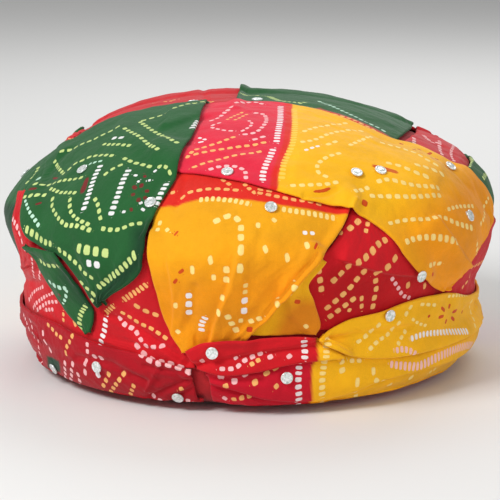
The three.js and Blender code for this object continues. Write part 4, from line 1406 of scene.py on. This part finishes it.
def oval(half_wide, half_long, z):
    x = half_wide * np.sin(CAP_TURN)
    y = -half_long * np.cos(CAP_TURN)
    return np.column_stack([x, y, np.full(CAP_SEGMENTS, float(z))])


def wound_crown():
    rings = [ring(z, CAP_INSET) for z in OUTSIDE_HEIGHTS]
    rings[0][:, 2] = 0.0
    roof = [oval(0.5 * row["wide"], 0.5 * row["long"], row["z"]) for row in ROOF]
    hollow = [ring(z, float(wall_at(z)), TURN_RIDGE) for z in HOLLOW_HEIGHTS]
    mouth = oval(HEAD_OPENING["side"], HEAD_OPENING["front"], 0)
    points = np.array(rings + roof + hollow + [mouth, rings[0]])
    points = np.concatenate([points, points[:, :1]], axis=1)
    mesh, _, _ = grid_mesh("wound_crown", points)
    bm = bmesh.new()
    bm.from_mesh(mesh)
    bmesh.ops.remove_doubles(bm, verts=bm.verts, dist=1e-6)
    bmesh.ops.recalc_face_normals(bm, faces=bm.faces)
    bm.to_mesh(mesh)
    bm.free()
    mesh.shade_smooth()
    return make_object("wound_crown", mesh)


def wound_cotton():
    material, tree, shader = new_material("wound_cotton", Roughness=0.85, Sheen_Weight=0.12)
    place = node(tree, "ShaderNodeTexCoord").outputs["Object"]
    patches = noise(tree, place, 30.0, 4.0, 0.6)
    threads = noise(tree, place, 1800.0, 2.0, 0.7)
    dark = tuple(DYE_AND_PAINTED_SHADE["lining"] * 0.8) + (1.0,)
    light = tuple(DYE_AND_PAINTED_SHADE["red"]) + (1.0,)
    colour = mix_colour(tree, ramp(tree, patches, 0.3, 0.7), dark, light)
    worn = mix_colour(tree, 1.0, colour, ramp(tree, threads, 0.2, 0.8, 0.85, 1.1), "MULTIPLY")
    tree.links.new(worn, shader.inputs["Base Color"])
    tree.links.new(bump(tree, threads, 0.4, 0.4), shader.inputs["Normal"])
    return material


crown = wound_crown()
crown.data.materials.append(wound_cotton())
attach(crown, "root")
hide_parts("crown_cap")
print("crown faces", len(crown.data.polygons))

# %% [markdown]
# Now the wraps, the lowest first. The ones round the back carry the cloth on where the front's wraps end.

# %% The wraps
RIGHT_END = 116  # bearings where the front's wraps give way to the back's
LEFT_END = 244

wrap(
    "back_rim_band", "red",
    table(
        BEHIND,
        (102, 9, 104, 33, 1.0),
        (128, 9, 128, 34, 2.5),
        (155, 9, 155, 36, 3.0),
        (185, 9, 185, 37, 3.0),
        (215, 9, 215, 36, 3.0),
        (236, 9, 236, 34, 2.5),
        (258, 9, 256, 33, 1.0),
    ),
)

wrap(
    "back_lower_wrap", "yellow",
    table(
        BEHIND,
        (RIGHT_END, 35, RIGHT_END, 56, 1.0),
        (132, 35, 132, 62, 2.5),
        (155, 36, 155, 69, 3.0),
        (185, 37, 185, 75, 3.0),
        (213, 36, 213, 79, 3.0),
        (230, 35, 230, 81, 2.5),
        (LEFT_END, 34, LEFT_END, 82, 1.0),
    ),
)

wrap(
    "back_upper_wrap", "green",
    table(
        BEHIND,
        (RIGHT_END, 54, RIGHT_END, 88, 1.0),
        (132, 60, 132, 94, 2.0),
        (155, 67, 155, 100, 2.5),
        (185, 73, 185, 104, 2.5),
        (213, 77, 213, 106, 2.5),
        (230, 79, 230, 107, 2.0),
        (LEFT_END, 80, LEFT_END, 107, 1.0),
    ),
)

wrap(
    "back_top_wrap", "red",
    table(
        BEHIND,
        (RIGHT_END, 86, RIGHT_END, 117, 0.5),
        (135, 92, 137, 122, 1.5),
        (156, 97, 157, 125, 2.0),
        (185, 101, 185, 126, 2.0),
        (213, 103, 212, 125, 2.0),
        (232, 104, 230, 122, 1.5),
        (LEFT_END, 104, LEFT_END, 118, 0.5),
    ),
)

wrap(
    "left_back_wrap", "green",
    table(
        TO_THE_BACK,
        (-100, 48, LEFT_END, 106, 0.5),
        (-110, 38, LEFT_END, 100, 1.5),
        (-114, 30, LEFT_END, 90, 1.5),
        (-116, 20, LEFT_END, 79, 1.5),
        (-116, 10, LEFT_END, 67, 1.5),
        (-113, -2, LEFT_END, 54, 1.5),
        (-110, -13, LEFT_END, 41, 0.5),
    ),
)

wrap(
    "top_left_wrap", "red",
    table(
        TO_THE_BACK,
        (-98, 42, 250, 108, 0),
        (-90, 46, 244, 111, 0.6),
        (-77, 52, 230, 116, 0.8),
        (-52, 61, 211, 120, 0.8),
        (-28, 69, 196, 121, 1.0),
        (-10, 73, 184, 122, 0.3),
    ),
)

wrap(
    "top_back_wrap", "green",
    table(
        TO_THE_BACK,
        (-8, 72, 183, 122, 0),
        (6, 71, 170, 121, 0.5),
        (24, 69, 156, 119, 1.0),
        (42, 65, 141, 117, 1.0),
        (58, 58, 127, 114, 1.0),
        (72, 54, RIGHT_END, 111, 0.3),
    ),
)

wrap(
    "right_back_red", "red",
    table(
        TO_THE_BACK,
        (73, 49, RIGHT_END, 109, 0),
        (87, 43, RIGHT_END, 105, 0.8),
        (98, 37, RIGHT_END, 100, 0.8),
        (107, 33, RIGHT_END, 95, 0),
    ),
)

wrap(
    "right_back_green", "green",
    table(
        TO_THE_BACK,
        (110, 36, RIGHT_END, 94, 1.0),
        (115, 31, RIGHT_END, 86, 4.5),
        (119, 23, RIGHT_END, 77, 5.0),
        (121, 14, RIGHT_END, 68, 2.0),
    ),
)

wrap(
    "right_side_red", "red",
    table(
        TO_THE_BACK,
        (119, 11, RIGHT_END, 67, 2.0),
        (116, 2, RIGHT_END, 60, 4.5),
        (109, -9, RIGHT_END, 52, 3.5),
        (105, -20, RIGHT_END, 44, 1.5),
        (104, -28, RIGHT_END, 37, 0.3),
    ),
)

wrap(
    "recess_panel", "red",
    table(
        IN_FRONT,
        (56, 25, 72, 22, 0),
        (52, 14, 80, 13, 0),
        (45, 2, 93, 2, 0),
        (32, -10, 103, -9, 0),
        (25, -21, 103, -19, 0),
        (26, -34, 102, -30, 0),
        (34, -42, 100, -38, 0),
    ),
)

wrap(
    "left_red_drape", "red",
    table(
        IN_FRONT,
        (-121, 28, -94, 28, 0),
        (-123, 18, -81, 18, 0.3),
        (-121, 5, -68, 8, 0.6),
        (-119, -6, -50, 3, 1.0),
    ) + table(
        FROM_THE_BACK,
        (262, 46, -44, -10, 2.5),
        (256, 38, -41, -25, 3.0),
        (258, 32, -36, -39, 1.5),
    ) + table(
        IN_FRONT,
        (-112, -41, -32, -52, 0.8),
        (-100, -50, -30, -63, 0.6),
    ),
)

wrap(
    "centre_pleat", "yellow",
    table(
        IN_FRONT,
        (28, -1, 39, -6, 0),
        (18, -12, 30, -17, 0.3),
        (8, -24, 33, -27, 0.4),
        (1, -36, 36, -40, 0.4),
        (-1, -45, 34, -44, 0.2),
    ),
)

wrap(
    # painted shade: this band's whole colour is a darker red, for the bottom left lying in shade
    "rim_left_band", "rim_red_painted_shade",
    table(
        BEHIND,
        (260, 32, 262, 8, 1.0),
    ) + table(
        IN_FRONT,
        (-112, -35, -108, -66, 1.5),
        (-101, -40, -98, -74, 2.0),
        (-90, -46, -81, -78, 2.0),
        (-77, -52, -65, -82, 2.0),
        (-60, -56, -48, -86, 2.0),
        (-44, -61, -34, -87, 1.5),
        (-32, -65, -23, -84, 0.5),
    ),
)

wrap(
    "rim_right_lower", "yellow",
    table(
        IN_FRONT,
        (-21, -68, -16, -84, 0),
        (-7, -70, -7, -88, 1.5),
        (7, -73, 8, -90, 2.0),
        (26, -74, 26, -90, 2.0),
        (46, -72, 45, -88, 2.0),
        (67, -65, 70, -84, 2.0),
        (85, -60, 91, -78, 1.5),
        (105, -54, 107, -70, 1.0),
    ) + table(
        BEHIND,
        (99, 19, 99, 9, 0.5),
    ),
)

wrap(
    "rim_right_middle", "yellow",
    table(
        IN_FRONT,
        (-24, -64, -20, -70, 0),
        (-8, -63, -7, -73, 1.5),
        (6, -61, 6, -76, 2.0),
        (23, -56, 26, -77, 2.0),
        (42, -53, 46, -75, 2.0),
        (63, -53, 66, -68, 2.0),
        (85, -51, 85, -63, 1.5),
        (103, -47, 105, -57, 1.0),
    ) + table(
        BEHIND,
        (99, 28, 99, 17, 0.5),
    ),
)

wrap(
    "centre_drape", "amber",
    table(
        IN_FRONT,
        (-52, 52, 53, 33, 0),
        (-52, 44, 53, 24, 0),
        (-48, 33, 50, 15, 1.2),
        (-51, 16, 45, 6, 3.5),
        (-53, 0, 39, -1, 4.5),
        (-51, -10, 27, -11, 4.0),
        (-47, -25, 16, -24, 4.0),
        (-43, -38, 7, -36, 3.0),
        (-38, -48, -2, -47, 1.0),
        (-35, -54, -5, -54, 0),
    ),
)

wrap(
    "rim_right_upper", "red",
    table(
        IN_FRONT,
        (-32, -54, -27, -63, 0.5),
        (-22, -49, -13, -66, 2.0),
        (1, -48, 5, -64, 2.5),
        (17, -47, 22, -60, 2.5),
        (33, -47, 37, -58, 1.5),
        (40, -51, 48, -57, 0.5),
    ),
)

wrap(
    "rim_right_leaf", "yellow",
    table(
        IN_FRONT,
        (36, -47, 38, -49, 0),
        (45, -41, 44, -52, 1.5),
        (53, -37, 54, -56, 2.5),
        (69, -33, 70, -57, 3.0),
        (83, -27, 85, -55, 3.0),
        (102, -23, 103, -50, 2.0),
        (114, -25, 114, -45, 0.8),
    ) + table(
        BEHIND,
        (100, 36, 100, 24, 0),
    ),
)

wrap(
    "upper_drape", "yellow",
    table(
        IN_FRONT,
        (-39, 72, -49, 47, 0),
        (-26, 75, -41, 41, 0.3),
        (-8, 77, -25, 38, 2.0),
        (7, 77, -7, 35, 2.5),
        (22, 75, 12, 30, 2.8),
        (39, 71, 30, 25, 3.0),
        (57, 64, 51, 20, 4.0),
        (75, 56, 64, 14, 5.0),
        (89, 52, 74, 6, 6.0),
        (103, 45, 81, -2, 6.0),
        (116, 37, 89, -11, 5.5),
        (124, 23, 99, -19, 5.0),
        (120, 9, 105, -18, 3.5),
        (114, -2, 109, -11, 1.0),
    ),
)

wrap(
    "left_green_drape", "green",
    table(
        IN_FRONT,
        (-106, 46, -23, 77, 2.0),
        (-111, 35, -30, 62, 3.0),
        (-117, 23, -36, 49, 3.5),
        (-116, 10, -41, 34, 4.0),
        (-106, 2, -51, 17, 4.0),
        (-97, -2, -55, 5, 3.5),
        (-89, -11, -57, -8, 3.0),
        (-78, -27, -76, -24, 0.8),
    ),
)

wrap(
    "left_green_flap", "green",
    table(
        IN_FRONT,
        (-115, 4, -100, 0, 2.5),
        (-109, -5, -93, -9, 3.5),
        (-102, -17, -86, -21, 3.5),
        (-95, -29, -81, -30, 2.5),
        (-88, -39, -81, -37, 1.0),
        (-85, -44, -83, -43, 0.3),
    ),
)

# %% [markdown]
# Small round mirrors are stuck here and there on the cloth. Each is a thin glass with a raised rim, spun from
# a little profile and set square on the cloth.

# %% The mirrors
SEQUINS = table(
    "x y",
    (-19, -54), (19, -68), (72, -34), (-52, 22), (-88, 39), (11, 20), (56, 36), (68, 36), (105, 40),
    (4, 80), (-31, 78), (-103, -62), (-120, 39), (112, 16), (87, -11), (-12, 38), (-79, -62), (-38, -77),
)
SEQUIN_PROFILE = table(
    "radius rise",
    (0, 0.75), (1.7, 0.72), (2.1, 0.62), (2.3, 0.78), (2.6, 0.86), (2.9, 0.7), (3.0, 0.35), (2.9, 0),
)
SEQUIN_STEPS = 28
SEQUIN_SEAT = 0.05  # between a mirror's back and the cloth


def mirror_disc(name, place, normal):
    bm = bmesh.new()
    verts = [bm.verts.new((row["radius"] * MM, 0, row["rise"] * MM)) for row in SEQUIN_PROFILE]
    edges = [bm.edges.new(pair) for pair in zip(verts[:-1], verts[1:])]
    bmesh.ops.spin(
        bm, geom=verts + edges, cent=(0, 0, 0), axis=(0, 0, 1), angle=2 * math.pi,
        steps=SEQUIN_STEPS, use_merge=True,
    )
    bmesh.ops.remove_doubles(bm, verts=bm.verts, dist=1e-6)
    bmesh.ops.holes_fill(bm, edges=bm.edges)
    bmesh.ops.recalc_face_normals(bm, faces=bm.faces)
    turn = Vector((0, 0, 1)).rotation_difference(Vector(normal)).to_matrix().to_4x4()
    bmesh.ops.transform(bm, matrix=turn, verts=bm.verts)
    bmesh.ops.translate(bm, vec=Vector(place) * MM, verts=bm.verts)
    mesh = bpy.data.meshes.new(name)
    bm.to_mesh(mesh)
    bm.free()
    mesh.shade_smooth()
    return make_object(name, mesh)


def mirror_glass():
    material, tree, shader = new_material("mirror_glass", Roughness=0.22, Metallic=0.35, Coat_Weight=0.6)
    place = node(tree, "ShaderNodeTexCoord").outputs["Object"]
    blots = noise(tree, place, *RAGGED)
    bright = (0.93, 0.95, 0.96, 1.0)
    dull = (0.50, 0.58, 0.52, 1.0)
    colour = mix_colour(tree, ramp(tree, blots, 0.4, 0.65), bright, dull)
    tree.links.new(colour, shader.inputs["Base Color"])
    return material


GLASS = mirror_glass()
for number, spot in enumerate(SEQUINS, start=1):
    towards = seen(spot["x"], spot["y"])[None]
    foot = on_crown(towards)
    normal = outward(foot)
    height = float(pile_near(towards)[0]) + SEQUIN_SEAT
    disc = mirror_disc(f"mirror_{number:02d}", (foot + normal * height)[0], normal[0])
    disc.data.materials.append(GLASS)
    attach(disc, "root")
    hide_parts(f"sequin_{number:02d}")
print("mirrors:", len(SEQUINS))

# %% [markdown]
# A plain pale floor and soft light: a key light from the upper left front, a weaker one from the right, one
# from behind and an even sky, so that the folds show.

# %% Floor, lights and colour
FLOOR_HALF = 4.0  # metres
FLOOR_GAP = 0.0005


def floor():
    bm = bmesh.new()
    bmesh.ops.create_grid(bm, x_segments=1, y_segments=1, size=FLOOR_HALF)
    mesh = bpy.data.meshes.new("floor")
    bm.to_mesh(mesh)
    bm.free()
    plane = make_object("floor", mesh)
    material, _, _ = new_material("pale_floor", Base_Color=(0.82, 0.82, 0.81, 1), Roughness=0.9)
    plane.data.materials.append(material)
    plane.location.z = -FLOOR_GAP


def soft_light(name, place, size, power):
    data = bpy.data.lights.new(name, "AREA")
    data.size = size
    data.energy = power
    light = bpy.data.objects.new(name, data)
    bpy.context.scene.collection.objects.link(light)
    light.location = place
    aim = Vector(VIEW_MIDDLE * MM) - Vector(place)
    light.rotation_euler = aim.to_track_quat("-Z", "Y").to_euler()


LIGHTS = table(
    "name place size power",
    ("key_light", (-0.75, -0.75, 0.95), 0.5, 13),
    ("fill_light", (0.9, -0.8, 0.5), 0.9, 3),
    ("back_light", (0.2, 0.9, 0.9), 0.9, 6),
)
SKY = 0.36
floor()
for light in LIGHTS:
    soft_light(**light)
world = bpy.data.worlds.new("studio")
world.use_nodes = True
sky = world.node_tree.nodes["Background"]
sky.inputs["Color"].default_value = (1, 1, 1, 1)
sky.inputs["Strength"].default_value = SKY
bpy.context.scene.world = world
bpy.context.scene.view_settings.view_transform = "Standard"
print("lights:", [light["name"] for light in LIGHTS])

# %% Sizes, and the end
for name, wide, long, area in sheets:
    print(f"{name}: cut {wide} x {long} mm, {area} square cm")
